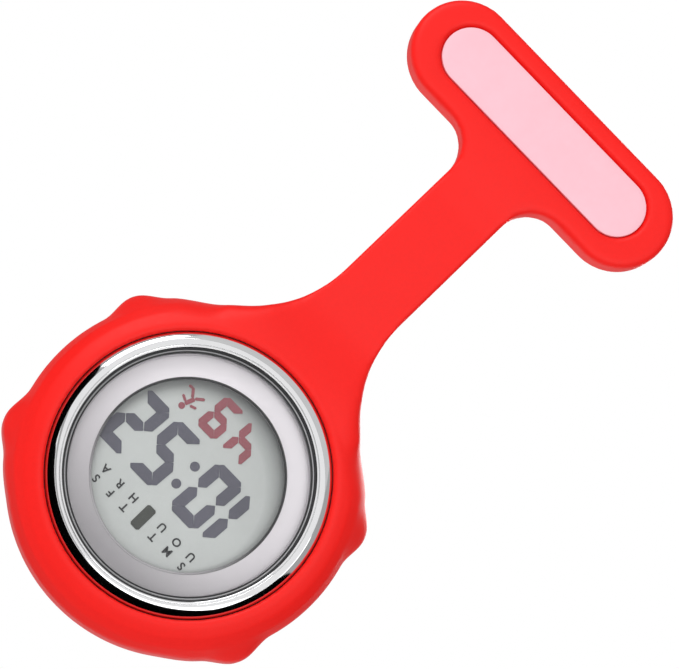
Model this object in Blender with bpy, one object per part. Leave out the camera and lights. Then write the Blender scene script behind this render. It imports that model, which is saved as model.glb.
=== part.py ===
"""Nurse's fob watch: a round digital watch in a soft silicone holder that hangs from a brooch bar.

Metres, +Z up along the strap, -Y towards the viewer, +X to the viewer's right.
The world origin is the middle of the brooch needle, which carries the watch in use.
"""
from math import atan2, cos, degrees, pi, radians, sin, sqrt

import bmesh
import bpy
from mathutils import Matrix, Vector

MM = 0.001

# Driving sizes of the whole watch
WATCH_Z = -58.4 * MM          # centre of the watch head below the needle
HEAD_FRONT_Y = -9.4 * MM      # top of the bezel
FLEX_Z = -19.7 * MM           # where the strap bends
STEPS = 48                    # facets of a large round part
FINE_STEPS = 20               # facets of a small round part

# Silicone holder
PAD_WIDTH = 39.4 * MM
PAD_HEIGHT = 12.9 * MM
PAD_FRONT_Y = -8.2 * MM
PAD_BACK_Y = -4.2 * MM
STRAP_HALF_WIDTH = 4.55 * MM
STRAP_FRONT_Y = -7.5 * MM
STRAP_BACK_Y = -5.0 * MM
PAD_FILLET = 4.5 * MM
FLARE_RADIUS = 15.7 * MM
KNUCKLE_CLEARANCE = 0.6 * MM
LABEL_WIDTH = 32.1 * MM
LABEL_HEIGHT = 7.7 * MM
LABEL_Z = 0.25 * MM
LABEL_DEPTH = 0.9 * MM
LABEL_THICKNESS = 0.6 * MM
CUP_RADIUS = 20.6 * MM
BUMP_HEIGHT = 1.4 * MM
BUMP_ANGLE = 27.5
BUMP_SPREAD = 11.0
BUMP_SHOULDER = 32.0
STRAP_ROOT_RADIUS = 19.0 * MM
POCKET_RADIUS = 2.2 * MM
POCKET_TOP = 20.3 * MM

# Brooch pin
NEEDLE_RADIUS = 0.45 * MM
NEEDLE_TIP_X = -17.3 * MM
NEEDLE_HINGE_X = 14.5 * MM
RIVET_RADIUS = 0.4 * MM
RUNNING_GAP = 0.07 * MM
EAR_GAP = 1.4 * MM
EAR_THICKNESS = 0.5 * MM
EAR_RADIUS = 1.15 * MM
BAR_LENGTH = 33.5 * MM
BAR_WIDTH = 5.2 * MM
BAR_FRONT_Y = -4.15 * MM
BAR_BACK_Y = -3.55 * MM
POST_X = 6.0 * MM
POST_RADIUS = 1.0 * MM
CATCH_X = -13.5 * MM
CATCH_LENGTH = 4.8 * MM
CATCH_RADIUS = 1.9 * MM
CATCH_CORE = 1.25 * MM
CATCH_SLOT = 1.3 * MM
SLEEVE_LENGTH = 2.8 * MM
LUG_ANGLE = 45.0

# Watch case, depths measured back from the top of the bezel
CASE_RADIUS = 17.4 * MM
WINDOW_RADIUS = 11.25 * MM
MODULE_RADIUS = 13.0 * MM
LCD_FLATS = 23.6 * MM
LEDGE_Z = 9.9 * MM
ZEBRA_Z = 10.7 * MM
BATTERY_RADIUS = 5.8 * MM
BATTERY_X = 4.0 * MM
BATTERY_Z = -1.5 * MM
SCREW_X = 11.2 * MM
SCREW_RADIUS = 0.5 * MM

# Push buttons, radii measured out from the watch's centre
BUTTON_ANGLES = (BUMP_ANGLE, 180.0 - BUMP_ANGLE, -180.0 + BUMP_ANGLE, -BUMP_ANGLE)
BUTTON_DEPTH = 6.6 * MM
STEM_RADIUS = 0.8 * MM
HEAD_BOTTOM = 18.5 * MM
SPRING_RADIUS = 1.35 * MM
SPRING_WIRE = 0.13 * MM
SPRING_START = 16.55 * MM
SPRING_TURNS = 3.0
FINGER_OUTER = 13.95 * MM
FINGER_THICKNESS = 0.2 * MM
FINGER_WIDTH = 1.6 * MM
FINGER_ROOT_DEPTH = 10.1 * MM
FINGER_LENGTH = 4.15 * MM


# ---------------------------------------------------------------- materials

def material(name, colour, roughness, metallic=0.0, alpha=1.0):
    """A Principled material, one for each finish."""
    finish = bpy.data.materials.new(name)
    finish.use_nodes = True
    shader = finish.node_tree.nodes["Principled BSDF"]
    shader.inputs["Base Color"].default_value = (*colour, 1.0)
    shader.inputs["Roughness"].default_value = roughness
    shader.inputs["Metallic"].default_value = metallic
    shader.inputs["Alpha"].default_value = alpha
    finish.diffuse_color = (*colour, alpha)
    return finish


def make_materials():
    """Every finish on the watch, by a short name."""
    return {
        "silicone": material("red_silicone", (0.80, 0.03, 0.02), 0.5),
        "label": material("pink_label", (0.95, 0.62, 0.70), 0.6),
        "case": material("case_plastic", (0.05, 0.05, 0.055), 0.4),
        "nickel": material("nickel_plate", (0.78, 0.76, 0.72), 0.25, 1.0),
        "chrome": material("chrome", (0.85, 0.86, 0.88), 0.08, 1.0),
        "steel": material("brushed_steel", (0.62, 0.62, 0.63), 0.35, 1.0),
        "spring": material("spring_steel", (0.55, 0.55, 0.56), 0.3, 1.0),
        "glass": material("mineral_glass", (0.95, 0.97, 0.98), 0.02, 0.0, 0.35),
        "ring": material("silver_ring", (0.78, 0.76, 0.82), 0.35, 0.3),
        "lcd": material("lcd_glass", (0.52, 0.55, 0.53), 0.15),
        "reflector": material("lcd_reflector", (0.60, 0.62, 0.58), 0.3, 0.5),
        "rubber": material("black_rubber", (0.02, 0.02, 0.02), 0.7),
        "nylon": material("pale_nylon", (0.42, 0.42, 0.43), 0.4),
        "zebra": material("zebra_rubber", (0.10, 0.10, 0.12), 0.7),
        "module": material("module_plastic", (0.75, 0.75, 0.72), 0.5),
        "board": material("green_board", (0.03, 0.18, 0.08), 0.4),
        "epoxy": material("black_epoxy", (0.015, 0.015, 0.015), 0.35),
        "ceramic": material("capacitor_ceramic", (0.45, 0.33, 0.20), 0.5),
        "lamp": material("lamp_plastic", (0.85, 0.85, 0.70), 0.2),
    }


# ---------------------------------------------------------------- helpers

def clear_scene():
    """Start from nothing."""
    for old in list(bpy.data.objects):
        bpy.data.objects.remove(old, do_unlink=True)


def empty(name, location, parent=None, rotation=(0.0, 0.0, 0.0)):
    """An axis or centre that pieces hang from."""
    pivot = bpy.data.objects.new(name, None)
    pivot.empty_display_size = 3 * MM
    pivot.location = location
    pivot.rotation_euler = rotation
    pivot.parent = parent
    bpy.context.collection.objects.link(pivot)
    return pivot


def piece(name, shape, finish=None, parent=None, location=(0.0, 0.0, 0.0)):
    """Turn a bmesh into a smooth-shaded object. Without a finish it is a tool for a Boolean."""
    bmesh.ops.recalc_face_normals(shape, faces=shape.faces)
    mesh = bpy.data.meshes.new(name)
    shape.to_mesh(mesh)
    shape.free()
    mesh.shade_smooth()
    mesh.set_sharp_from_angle(angle=radians(35))
    solid = bpy.data.objects.new(name, mesh)
    bpy.context.collection.objects.link(solid)
    solid.location = location
    solid.parent = parent
    if finish is None:
        solid.hide_render = True
        solid.display_type = "WIRE"
    else:
        mesh.materials.append(finish)
    return solid


def boolean(solid, tool, operation):
    """Join a tool to a solid, or cut it out of the solid."""
    step = solid.modifiers.new(operation.lower() + "_" + tool.name, "BOOLEAN")
    step.operation = operation
    step.solver = "EXACT"
    step.object = tool


def bevel(solid, width, segments=3):
    """Round the sharp rims of a solid."""
    step = solid.modifiers.new("rounded_rims", "BEVEL")
    step.width = width
    step.segments = segments
    step.limit_method = "ANGLE"
    step.angle_limit = radians(50)


def turned(profile, axis, steps=STEPS):
    """A solid turned about an axis through the local origin.

    The profile lists (radius, distance along the axis). It is a closed loop, unless its first
    and last points lie on the axis.
    """
    along = Vector(axis)
    outward = Vector((1, 0, 0)) if abs(along.x) < 0.5 else Vector((0, 1, 0))
    shape = bmesh.new()
    verts = [shape.verts.new(outward * radius + along * height) for radius, height in profile]
    links = list(zip(verts, verts[1:]))
    if profile[0][0] > 0:
        links.append((verts[-1], verts[0]))
    edges = [shape.edges.new(link) for link in links]
    bmesh.ops.spin(shape, geom=verts + edges, cent=(0, 0, 0), axis=along, angle=2 * pi,
                   steps=steps, use_merge=True)
    bmesh.ops.remove_doubles(shape, verts=shape.verts, dist=0.001 * MM)
    return shape


def disc(radius, front, back, axis=(0, 1, 0), steps=STEPS):
    """A plain round disc or rod."""
    return turned([(0, front), (radius, front), (radius, back), (0, back)], axis, steps)


def tube(inner, outer, front, back, axis=(0, 1, 0), steps=STEPS):
    """A plain ring with a square section."""
    return turned([(inner, front), (outer, front), (outer, back), (inner, back)], axis, steps)


def slab(outline, front, back, plane="XZ"):
    """A flat solid: an outline in a plane, extruded along the third axis."""
    places = {"XZ": lambda a, b: (a, front, b), "XY": lambda a, b: (a, b, front)}
    push = {"XZ": (0, back - front, 0), "XY": (0, 0, back - front)}
    shape = bmesh.new()
    face = shape.faces.new([shape.verts.new(places[plane](a, b)) for a, b in outline])
    grown = bmesh.ops.extrude_face_region(shape, geom=[face])
    verts = [item for item in grown["geom"] if isinstance(item, bmesh.types.BMVert)]
    bmesh.ops.translate(shape, verts=verts, vec=push[plane])
    return shape


def block(low, high):
    """A box between two corners."""
    size = [b - a for a, b in zip(low, high)]
    middle = [(a + b) / 2 for a, b in zip(low, high)]
    shape = bmesh.new()
    bmesh.ops.create_cube(shape, size=1.0)
    bmesh.ops.scale(shape, verts=shape.verts, vec=size)
    bmesh.ops.translate(shape, verts=shape.verts, vec=middle)
    return shape


def arc(centre, radius, start, end, count):
    """Points along an arc, with angles in degrees from the first axis towards the second."""
    turns = [radians(start + (end - start) * i / (count - 1)) for i in range(count)]
    return [(centre[0] + radius * cos(turn), centre[1] + radius * sin(turn)) for turn in turns]


def stadium(length, height, middle=0.0, count=17):
    """A bar with full round ends."""
    radius = height / 2
    reach = length / 2 - radius
    return (arc((reach, middle), radius, -90, 90, count)
            + arc((-reach, middle), radius, 90, 270, count))


def octagon(flats, half_height):
    """An octagon with its top and bottom trimmed to a half height."""
    half = flats / 2
    corner = half * (sqrt(2) - 1)
    trim = min(half, half_height)
    side = corner + half - trim
    return [(half, -corner), (half, corner), (side, trim), (-side, trim),
            (-half, corner), (-half, -corner), (-side, -trim), (side, -trim)]


# ---------------------------------------------------------------- silicone holder

def make_brooch_pad(finish):
    """The top of the holder: label frame, upper strap and the two posts that hold the pin bar."""
    pad = piece("silicone_brooch_pad", slab(stadium(PAD_WIDTH, PAD_HEIGHT), PAD_FRONT_Y, PAD_BACK_Y),
                finish)
    bevel(pad, 0.9 * MM)

    shoulder = STRAP_HALF_WIDTH + PAD_FILLET
    edge = -PAD_HEIGHT / 2
    fillet_z = edge - PAD_FILLET
    outline = ([(-shoulder, 0.7 * edge), (shoulder, 0.7 * edge)]
               + arc((shoulder, fillet_z), PAD_FILLET, 90, 180, 9)
               + [(STRAP_HALF_WIDTH, FLEX_Z), (-STRAP_HALF_WIDTH, FLEX_Z)]
               + arc((-shoulder, fillet_z), PAD_FILLET, 0, 90, 9))
    strap = piece("upper_strap_tool", slab(outline, STRAP_FRONT_Y, STRAP_BACK_Y))
    boolean(pad, strap, "UNION")

    for side, x in (("left", -POST_X), ("right", POST_X)):
        profile = [(0, PAD_BACK_Y - 0.4 * MM), (POST_RADIUS, PAD_BACK_Y - 0.4 * MM),
                   (POST_RADIUS, BAR_BACK_Y + 0.05 * MM), (1.7 * POST_RADIUS, BAR_BACK_Y + 0.15 * MM),
                   (1.5 * POST_RADIUS, BAR_BACK_Y + 0.65 * MM),
                   (0.8 * POST_RADIUS, BAR_BACK_Y + 0.8 * MM), (0, BAR_BACK_Y + 0.8 * MM)]
        post = piece("post_tool_" + side, turned(profile, (0, 1, 0), FINE_STEPS), location=(x, 0, 0))
        boolean(pad, post, "UNION")

    recess = piece("label_recess_tool", slab(stadium(LABEL_WIDTH, LABEL_HEIGHT, LABEL_Z),
                                             PAD_FRONT_Y - MM, PAD_FRONT_Y + LABEL_DEPTH))
    boolean(pad, recess, "DIFFERENCE")

    strap_half = (STRAP_BACK_Y - STRAP_FRONT_Y) / 2
    socket = piece("knuckle_socket_tool",
                   disc(strap_half + KNUCKLE_CLEARANCE, -6 * MM, 6 * MM, (1, 0, 0), FINE_STEPS),
                   location=(0, (STRAP_FRONT_Y + STRAP_BACK_Y) / 2, FLEX_Z))
    boolean(pad, socket, "DIFFERENCE")
    return pad


def make_label(finish):
    """The blank name plate that lies in the frame of the pad."""
    back = PAD_FRONT_Y + LABEL_DEPTH - 0.05 * MM
    outline = stadium(LABEL_WIDTH - 0.4 * MM, LABEL_HEIGHT - 0.4 * MM, LABEL_Z)
    return piece("label_insert", slab(outline, back - LABEL_THICKNESS, back), finish)


def bump(angle):
    """How far a button bump pushes the cup's outline out, from 0 to 1, at an angle in degrees."""
    height = 0.0
    for centre in BUTTON_ANGLES:
        away = (angle - centre + 180) % 360 - 180
        outside = away * (1 if sin(radians(2 * centre)) > 0 else -1) > 0
        peak = (1 + cos(pi * min(abs(away) / BUMP_SPREAD, 1))) / 2
        shoulder = (1 + cos(pi * min(abs(away) / BUMP_SHOULDER, 1))) / 2
        height = max(height, 0.75 * peak + 0.25 * (shoulder if outside else peak))
    return height


def cup_shape():
    """The open ring of silicone round the watch: a section swept round, with bumps at the buttons."""
    section = [(16.60, 1.35, 0), (16.60, 0.55, 0), (16.85, 0.30, 0), (17.30, 0.30, 0),
               (18.60, 0.75, 0.1), (19.70, 1.70, 0.5), (20.35, 3.20, 0.9), (20.60, 5.00, 1),
               (20.60, 8.20, 1), (20.35, 10.20, 0.9), (19.70, 11.60, 0.5), (18.60, 12.30, 0.1),
               (12.80, 12.30, 0), (12.55, 12.05, 0), (12.55, 11.15, 0), (17.60, 11.15, 0),
               (17.60, 1.35, 0)]
    shape = bmesh.new()
    rings = []
    steps = 2 * STEPS
    for i in range(steps):
        angle = 360.0 * i / steps
        extra = BUMP_HEIGHT * bump(angle)
        ring = []
        for radius, depth, share in section:
            reach = radius * MM + extra * share
            ring.append(shape.verts.new((reach * cos(radians(angle)), depth * MM,
                                         reach * sin(radians(angle)))))
        rings.append(ring)
    for here, there in zip(rings, rings[1:] + rings[:1]):
        for j in range(len(section)):
            k = (j + 1) % len(section)
            shape.faces.new((here[j], here[k], there[k], there[j]))
    return shape


def make_pouch(finish, head):
    """The lower strap, which flares into the cup that grips the watch."""
    pouch = piece("silicone_watch_pouch", cup_shape(), finish, head)

    reach = CUP_RADIUS - 0.1 * MM
    flare_x = STRAP_HALF_WIDTH + FLARE_RADIUS
    flare_z = sqrt((reach + FLARE_RADIUS) ** 2 - flare_x ** 2)
    lean = degrees(atan2(flare_z, flare_x))
    top = FLEX_Z - WATCH_Z
    outline = ([(STRAP_HALF_WIDTH, top)]
               + arc((flare_x, flare_z), FLARE_RADIUS, 180, 180 + lean, 13)
               + arc((0, 0), STRAP_ROOT_RADIUS, lean, 180 - lean, 13)
               + arc((-flare_x, flare_z), FLARE_RADIUS, -lean, 0, 13)
               + [(-STRAP_HALF_WIDTH, top)])
    front = STRAP_FRONT_Y - HEAD_FRONT_Y
    back = STRAP_BACK_Y - HEAD_FRONT_Y
    strap = piece("lower_strap_tool", slab(outline, front, back), parent=head)
    boolean(pouch, strap, "UNION")

    knuckle = disc((back - front) / 2, -STRAP_HALF_WIDTH, STRAP_HALF_WIDTH, (1, 0, 0), FINE_STEPS)
    tool = piece("knuckle_tool", knuckle, parent=head, location=(0, (front + back) / 2, top))
    boolean(pouch, tool, "UNION")

    for index, pivot in enumerate(button_pivots(head, "pocket")):
        hollow = disc(POCKET_RADIUS, CASE_RADIUS - 0.4 * MM, POCKET_TOP, (1, 0, 0), FINE_STEPS)
        pocket = piece(f"pocket_tool_{index + 1}", hollow, parent=pivot)
        boolean(pouch, pocket, "DIFFERENCE")
    return pouch


def button_pivots(head, label):
    """One empty for each button, at the watch's centre, with its +X along the button."""
    pivots = []
    for index, angle in enumerate(BUTTON_ANGLES):
        pivots.append(empty(f"{label}_axis_{index + 1}", (0, BUTTON_DEPTH, 0), head,
                            (0, -radians(angle), 0)))
    return pivots


# ---------------------------------------------------------------- brooch pin

def make_pin_bar(finish):
    """The stamped bar on the back of the pad, with two ears that carry the needle's rivet."""
    bar = piece("pin_bar", slab(stadium(BAR_LENGTH, BAR_WIDTH), BAR_FRONT_Y, BAR_BACK_Y), finish)
    for side, x in (("left", -POST_X), ("right", POST_X)):
        hole = disc(POST_RADIUS + 0.1 * MM, BAR_FRONT_Y - MM, BAR_BACK_Y + MM, steps=FINE_STEPS)
        boolean(bar, piece("post_hole_tool_" + side, hole, location=(x, 0, 0)), "DIFFERENCE")
    outline = ([(NEEDLE_HINGE_X - 1.7 * MM, BAR_BACK_Y - 0.3 * MM),
                (NEEDLE_HINGE_X + 1.7 * MM, BAR_BACK_Y - 0.3 * MM)]
               + arc((NEEDLE_HINGE_X, 0), EAR_RADIUS, 0, 180, 13))
    for side, low in (("upper", EAR_GAP / 2), ("lower", -EAR_GAP / 2 - EAR_THICKNESS)):
        ear = piece("ear_tool_" + side, slab(outline, low, low + EAR_THICKNESS, "XY"))
        boolean(bar, ear, "UNION")
    bore = disc(RIVET_RADIUS + RUNNING_GAP, -3 * MM, 3 * MM, (0, 0, 1), FINE_STEPS)
    boolean(bar, piece("rivet_bore_tool", bore, location=(NEEDLE_HINGE_X, 0, 0)), "DIFFERENCE")
    return bar


def make_rivet(finish):
    """The rivet through the ears and the needle's eye."""
    reach = EAR_GAP / 2 + EAR_THICKNESS + 0.05 * MM
    head = 0.3 * MM
    profile = [(0, -reach - head), (0.6 * MM, -reach - head), (0.75 * MM, -reach),
               (RIVET_RADIUS, -reach), (RIVET_RADIUS, reach), (0.75 * MM, reach),
               (0.6 * MM, reach + head), (0, reach + head)]
    return piece("hinge_rivet", turned(profile, (0, 0, 1), FINE_STEPS), finish,
                 location=(NEEDLE_HINGE_X, 0, 0))


def make_needle(finish):
    """The pointed needle, with a flat eye that turns on the rivet."""
    pivot = empty("needle_axis", (NEEDLE_HINGE_X, 0, 0))
    eye = tube(RIVET_RADIUS + RUNNING_GAP, 1.1 * MM, -0.6 * MM, 0.6 * MM, (0, 0, 1), FINE_STEPS)
    needle = piece("pin_needle", eye, finish, pivot)
    tip = NEEDLE_TIP_X - NEEDLE_HINGE_X
    profile = [(0, tip), (0.08 * MM, tip + 0.1 * MM), (NEEDLE_RADIUS, tip + 3.0 * MM),
               (NEEDLE_RADIUS, -0.75 * MM), (0, -0.75 * MM)]
    shaft = piece("needle_shaft_tool", turned(profile, (1, 0, 0), 16), parent=pivot)
    boolean(needle, shaft, "UNION")
    return needle


def make_catch(finish):
    """The fixed half of the catch: a slotted tube with two cheeks, soldered to the bar."""
    half = CATCH_LENGTH / 2
    core = SLEEVE_LENGTH / 2 + 0.1 * MM
    inner = NEEDLE_RADIUS + 0.35 * MM
    profile = [(inner, -half), (CATCH_RADIUS, -half), (CATCH_RADIUS, -core), (CATCH_CORE, -core),
               (CATCH_CORE, core), (CATCH_RADIUS, core), (CATCH_RADIUS, half), (inner, half)]
    catch = piece("catch_housing", turned(profile, (1, 0, 0), FINE_STEPS), finish,
                  location=(CATCH_X, 0, 0))
    for side, low in (("outer", -half), ("inner", core)):
        foot = block((low, BAR_BACK_Y + 0.05 * MM, -1.2 * MM),
                     (low + half - core, -1.2 * MM, 1.2 * MM))
        boolean(catch, piece("foot_tool_" + side, foot, location=(CATCH_X, 0, 0)), "UNION")
    slot = block((-CATCH_LENGTH, 0, -CATCH_SLOT / 2), (CATCH_LENGTH, 3 * MM, CATCH_SLOT / 2))
    boolean(catch, piece("catch_slot_tool", slot, location=(CATCH_X, 0, 0)), "DIFFERENCE")
    return catch


def make_safety_sleeve(finish):
    """The slotted sleeve that turns over the catch and shuts the needle in."""
    pivot = empty("sleeve_axis", (CATCH_X, 0, 0))
    half = SLEEVE_LENGTH / 2
    sleeve = piece("safety_sleeve", tube(CATCH_CORE + 0.1 * MM, CATCH_RADIUS - 0.05 * MM, -half, half,
                                         (1, 0, 0), FINE_STEPS), finish, pivot)
    lug = block((-0.6 * MM, 1.6 * MM, -0.3 * MM), (0.6 * MM, 3.0 * MM, 0.3 * MM))
    lug.transform(Matrix.Rotation(radians(LUG_ANGLE), 4, "X"))
    boolean(sleeve, piece("lug_tool", lug, parent=pivot), "UNION")
    slot = block((-CATCH_LENGTH, 0, -CATCH_SLOT / 2), (CATCH_LENGTH, 3 * MM, CATCH_SLOT / 2))
    boolean(sleeve, piece("sleeve_slot_tool", slot, parent=pivot), "DIFFERENCE")
    return sleeve


# ---------------------------------------------------------------- watch case

def make_case(looks, head):
    """Case, bezel, crystal and back, from the front to the wearer's side."""
    middle = [(17.4, 1.5), (17.4, 11.0), (16.4, 11.0), (16.4, 10.0), (14.8, 10.0), (14.8, 4.9),
              (14.1, 4.9), (14.1, 2.1), (15.3, 2.1), (15.3, 1.5)]
    bezel = [(16.4, 1.4), (16.4, 0.9), (15.9, 0.3), (15.3, 0.0), (14.75, 0.05), (14.45, 0.35),
             (14.3, 0.5), (14.3, 2.0), (15.2, 2.0), (15.2, 1.4)]
    crystal = [(0, 0.3), (13.8, 0.3), (14.0, 0.5), (14.0, 1.7), (0, 1.7)]
    back = [(0, 12.15), (11.6, 12.15), (12.2, 11.6), (12.3, 10.95), (16.3, 10.95), (16.3, 10.45),
            (11.8, 10.45), (11.3, 11.55), (0, 11.55)]
    case = piece("case_middle", turned(in_metres(middle), (0, 1, 0)), looks["case"], head)
    piece("bezel", turned(in_metres(bezel), (0, 1, 0)), looks["chrome"], head)
    piece("crystal", turned(in_metres(crystal), (0, 1, 0)), looks["glass"], head)
    piece("crystal_gasket", tube(14.04 * MM, 14.24 * MM, 0.4 * MM, 1.8 * MM), looks["nylon"], head)
    piece("display_ring", tube(WINDOW_RADIUS, 14.0 * MM, 1.9 * MM, 2.75 * MM), looks["ring"], head)
    piece("case_back_gasket", tube(15.0 * MM, 16.3 * MM, 10.05 * MM, 10.4 * MM), looks["rubber"], head)
    piece("case_back", turned(in_metres(back), (0, 1, 0)), looks["steel"], head)

    for index, pivot in enumerate(button_pivots(head, "bore")):
        bore = turned(in_metres([(0, 13.5), (1.05, 13.5), (1.05, 16.5), (1.9, 16.5), (1.9, 18.5),
                                 (0, 18.5)]), (1, 0, 0), FINE_STEPS)
        boolean(case, piece(f"bore_tool_{index + 1}", bore, parent=pivot), "DIFFERENCE")
    return case


def in_metres(profile):
    """A profile written in millimetres."""
    return [(radius * MM, height * MM) for radius, height in profile]


# ---------------------------------------------------------------- module

def make_display(looks, head):
    """The liquid crystal display: filter, two glasses, reflector and its two rubber contacts."""
    full = octagon(LCD_FLATS, LCD_FLATS / 2)
    short = octagon(LCD_FLATS, LEDGE_Z)
    layers = (("lcd_front_filter", octagon(LCD_FLATS - 0.4 * MM, LCD_FLATS), 2.85, 3.05, "lcd"),
              ("lcd_front_glass", full, 3.10, 3.80, "glass"),
              ("lcd_rear_glass", short, 3.85, 4.55, "glass"),
              ("lcd_reflector", short, 4.60, 4.80, "reflector"))
    for name, outline, front, back, look in layers:
        piece(name, slab(outline, front * MM, back * MM), looks[look], head)
    for name, side in (("zebra_strip_upper", 1), ("zebra_strip_lower", -1)):
        strip = block((-4.8 * MM, 3.85 * MM, -0.6 * MM), (4.8 * MM, 5.7 * MM, 0.6 * MM))
        piece(name, strip, looks["zebra"], head, (0, 0, side * ZEBRA_Z))


def make_module_frame(finish, head):
    """The tray that holds the display above the circuit board."""
    profile = [(0, 4.9), (12.9, 4.9), (12.9, 2.85), (13.5, 2.85), (13.5, 5.65), (12.6, 5.65),
               (12.6, 5.4), (0, 5.4)]
    frame = piece("module_frame", turned(in_metres(profile), (0, 1, 0)), finish, head)
    for name, side in (("upper", 1), ("lower", -1)):
        slot = block((-5.0 * MM, 4.0 * MM, -0.8 * MM), (5.0 * MM, 6.5 * MM, 0.8 * MM))
        boolean(frame, piece("zebra_slot_tool_" + name, slot, parent=head,
                             location=(0, 0, side * ZEBRA_Z)), "DIFFERENCE")
    cut_screw_holes(frame, head, "frame")


def cut_screw_holes(solid, head, label):
    """Clear the two module screws."""
    for name, x in (("left", -SCREW_X), ("right", SCREW_X)):
        hole = disc(SCREW_RADIUS + 0.1 * MM, 4.7 * MM, 11 * MM, steps=FINE_STEPS)
        tool = piece(f"{label}_screw_tool_{name}", hole, parent=head, location=(x, 0, 0))
        boolean(solid, tool, "DIFFERENCE")


def make_electronics(looks, head):
    """Circuit board and what is soldered to it."""
    board = piece("circuit_board", disc(MODULE_RADIUS, 5.75 * MM, 6.4 * MM), looks["board"], head)
    cut_screw_holes(board, head, "board")
    dome = [(0, 6.45), (2.6, 6.45), (2.3, 7.0), (1.5, 7.4), (0, 7.55)]
    piece("chip_blob", turned(in_metres(dome), (0, 1, 0), FINE_STEPS), looks["epoxy"], head,
          (-6.2 * MM, 0, 2.6 * MM))
    can = disc(0.7 * MM, 0, 5.0 * MM, (1, 0, 0), FINE_STEPS)
    piece("quartz_can", can, looks["nickel"], head, (-9.2 * MM, 7.2 * MM, -4.2 * MM))
    for index, z in enumerate((-1.7 * MM, -2.9 * MM)):
        body = block((-0.8 * MM, 6.45 * MM, -0.4 * MM), (0.8 * MM, 7.1 * MM, 0.4 * MM))
        piece(f"capacitor_{index + 1}", body, looks["ceramic"], head, (-7.4 * MM, 0, z))
    lamp = block((-0.3 * MM, 3.15 * MM, -0.9 * MM), (0.3 * MM, 4.8 * MM, 0.9 * MM))
    piece("backlight_lamp", lamp, looks["lamp"], head, (12.3 * MM, 0, 0))


def make_power(looks, head):
    """Button cell, its two contacts, the cage round it and the screws that clamp the stack."""
    where = (BATTERY_X, 0, BATTERY_Z)
    cell = [(0, 6.75), (4.4, 6.75), (4.4, 6.95), (5.8, 7.2), (5.8, 9.8), (0, 9.8)]
    piece("battery", turned(in_metres(cell), (0, 1, 0)), looks["steel"], head, where)
    contact = block((-3.0 * MM, 6.45 * MM, -1.2 * MM), (3.0 * MM, 6.7 * MM, 1.2 * MM))
    piece("battery_contact", contact, looks["spring"], head, where)

    cage = piece("battery_cage", disc(MODULE_RADIUS, 6.45 * MM, 9.8 * MM), looks["module"], head)
    well = disc(BATTERY_RADIUS + 0.2 * MM, 6 * MM, 11 * MM)
    boolean(cage, piece("battery_well_tool", well, parent=head, location=where), "DIFFERENCE")
    pocket = block((-9.6 * MM, 6 * MM, -5.4 * MM), (-3.2 * MM, 8.4 * MM, 5.6 * MM))
    boolean(cage, piece("chip_pocket_tool", pocket, parent=head), "DIFFERENCE")
    cut_screw_holes(cage, head, "cage")

    plate = slab(stadium(25.2 * MM, 8.0 * MM), 9.85 * MM, 10.05 * MM)
    clip = piece("battery_clip", plate, looks["spring"], head)
    cut_screw_holes(clip, head, "clip")

    profile = [(0, 10.38), (0.9, 10.38), (1.05, 10.3), (1.05, 10.1), (0.5, 10.1), (0.5, 5.0), (0, 5.0)]
    for index, x in enumerate((-SCREW_X, SCREW_X)):
        piece(f"module_screw_{index + 1}", turned(in_metres(reversed(profile)), (0, 1, 0), FINE_STEPS),
              looks["steel"], head, (x, 0, 0))


# ---------------------------------------------------------------- push buttons

def spring_shape():
    """A round wire wound into a coil along +X."""
    sides = 6
    per_turn = 14
    count = int(SPRING_TURNS * per_turn)
    start = SPRING_START + SPRING_WIRE
    rise = (HEAD_BOTTOM - 0.05 * MM - SPRING_WIRE - start) / count
    shape = bmesh.new()
    rings = []
    for i in range(count + 1):
        turn = 2 * pi * i / per_turn
        outward = Vector((0, cos(turn), sin(turn)))
        centre = Vector((start + rise * i, 0, 0)) + outward * SPRING_RADIUS
        ring = []
        for j in range(sides):
            side = 2 * pi * j / sides
            offset = outward * cos(side) + Vector((1, 0, 0)) * sin(side)
            ring.append(shape.verts.new(centre + offset * SPRING_WIRE))
        rings.append(ring)
    for here, there in zip(rings, rings[1:]):
        for j in range(sides):
            k = (j + 1) % sides
            shape.faces.new((here[j], here[k], there[k], there[j]))
    shape.faces.new(rings[0])
    shape.faces.new(rings[-1])
    return shape


def make_button(number, pivot, looks):
    """One push button along its pivot's +X, with what it carries and what it pushes."""
    groove = STEM_RADIUS - 0.2 * MM
    profile = [(0, 14.0), (0.7, 14.0), (0.8, 14.1), (0.8, 14.25), (0.6, 14.25), (0.6, 14.6),
               (0.8, 14.6), (0.8, 15.6), (0.6, 15.6), (0.6, 16.2), (0.8, 16.2), (0.8, 18.5),
               (1.9, 18.5), (1.9, 19.8), (1.7, 20.0), (0, 20.0)]
    piece(f"button_{number}", turned(in_metres(profile), (1, 0, 0), FINE_STEPS), looks["chrome"], pivot)
    clip = tube(groove + 0.05 * MM, 1.5 * MM, 14.3 * MM, 14.55 * MM, (1, 0, 0), FINE_STEPS)
    piece(f"button_circlip_{number}", clip, looks["spring"], pivot)
    ring = tube(groove + 0.05 * MM, 1.0 * MM, 15.65 * MM, 16.15 * MM, (1, 0, 0), FINE_STEPS)
    piece(f"button_seal_{number}", ring, looks["rubber"], pivot)
    piece(f"button_spring_{number}", spring_shape(), looks["spring"], pivot)

    reach = FINGER_ROOT_DEPTH - BUTTON_DEPTH
    finger = block((-FINGER_THICKNESS, reach - FINGER_LENGTH, -FINGER_WIDTH / 2),
                   (0, reach, FINGER_WIDTH / 2))
    piece(f"contact_finger_{number}", finger, looks["spring"], pivot, (FINGER_OUTER, 0, 0))


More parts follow.
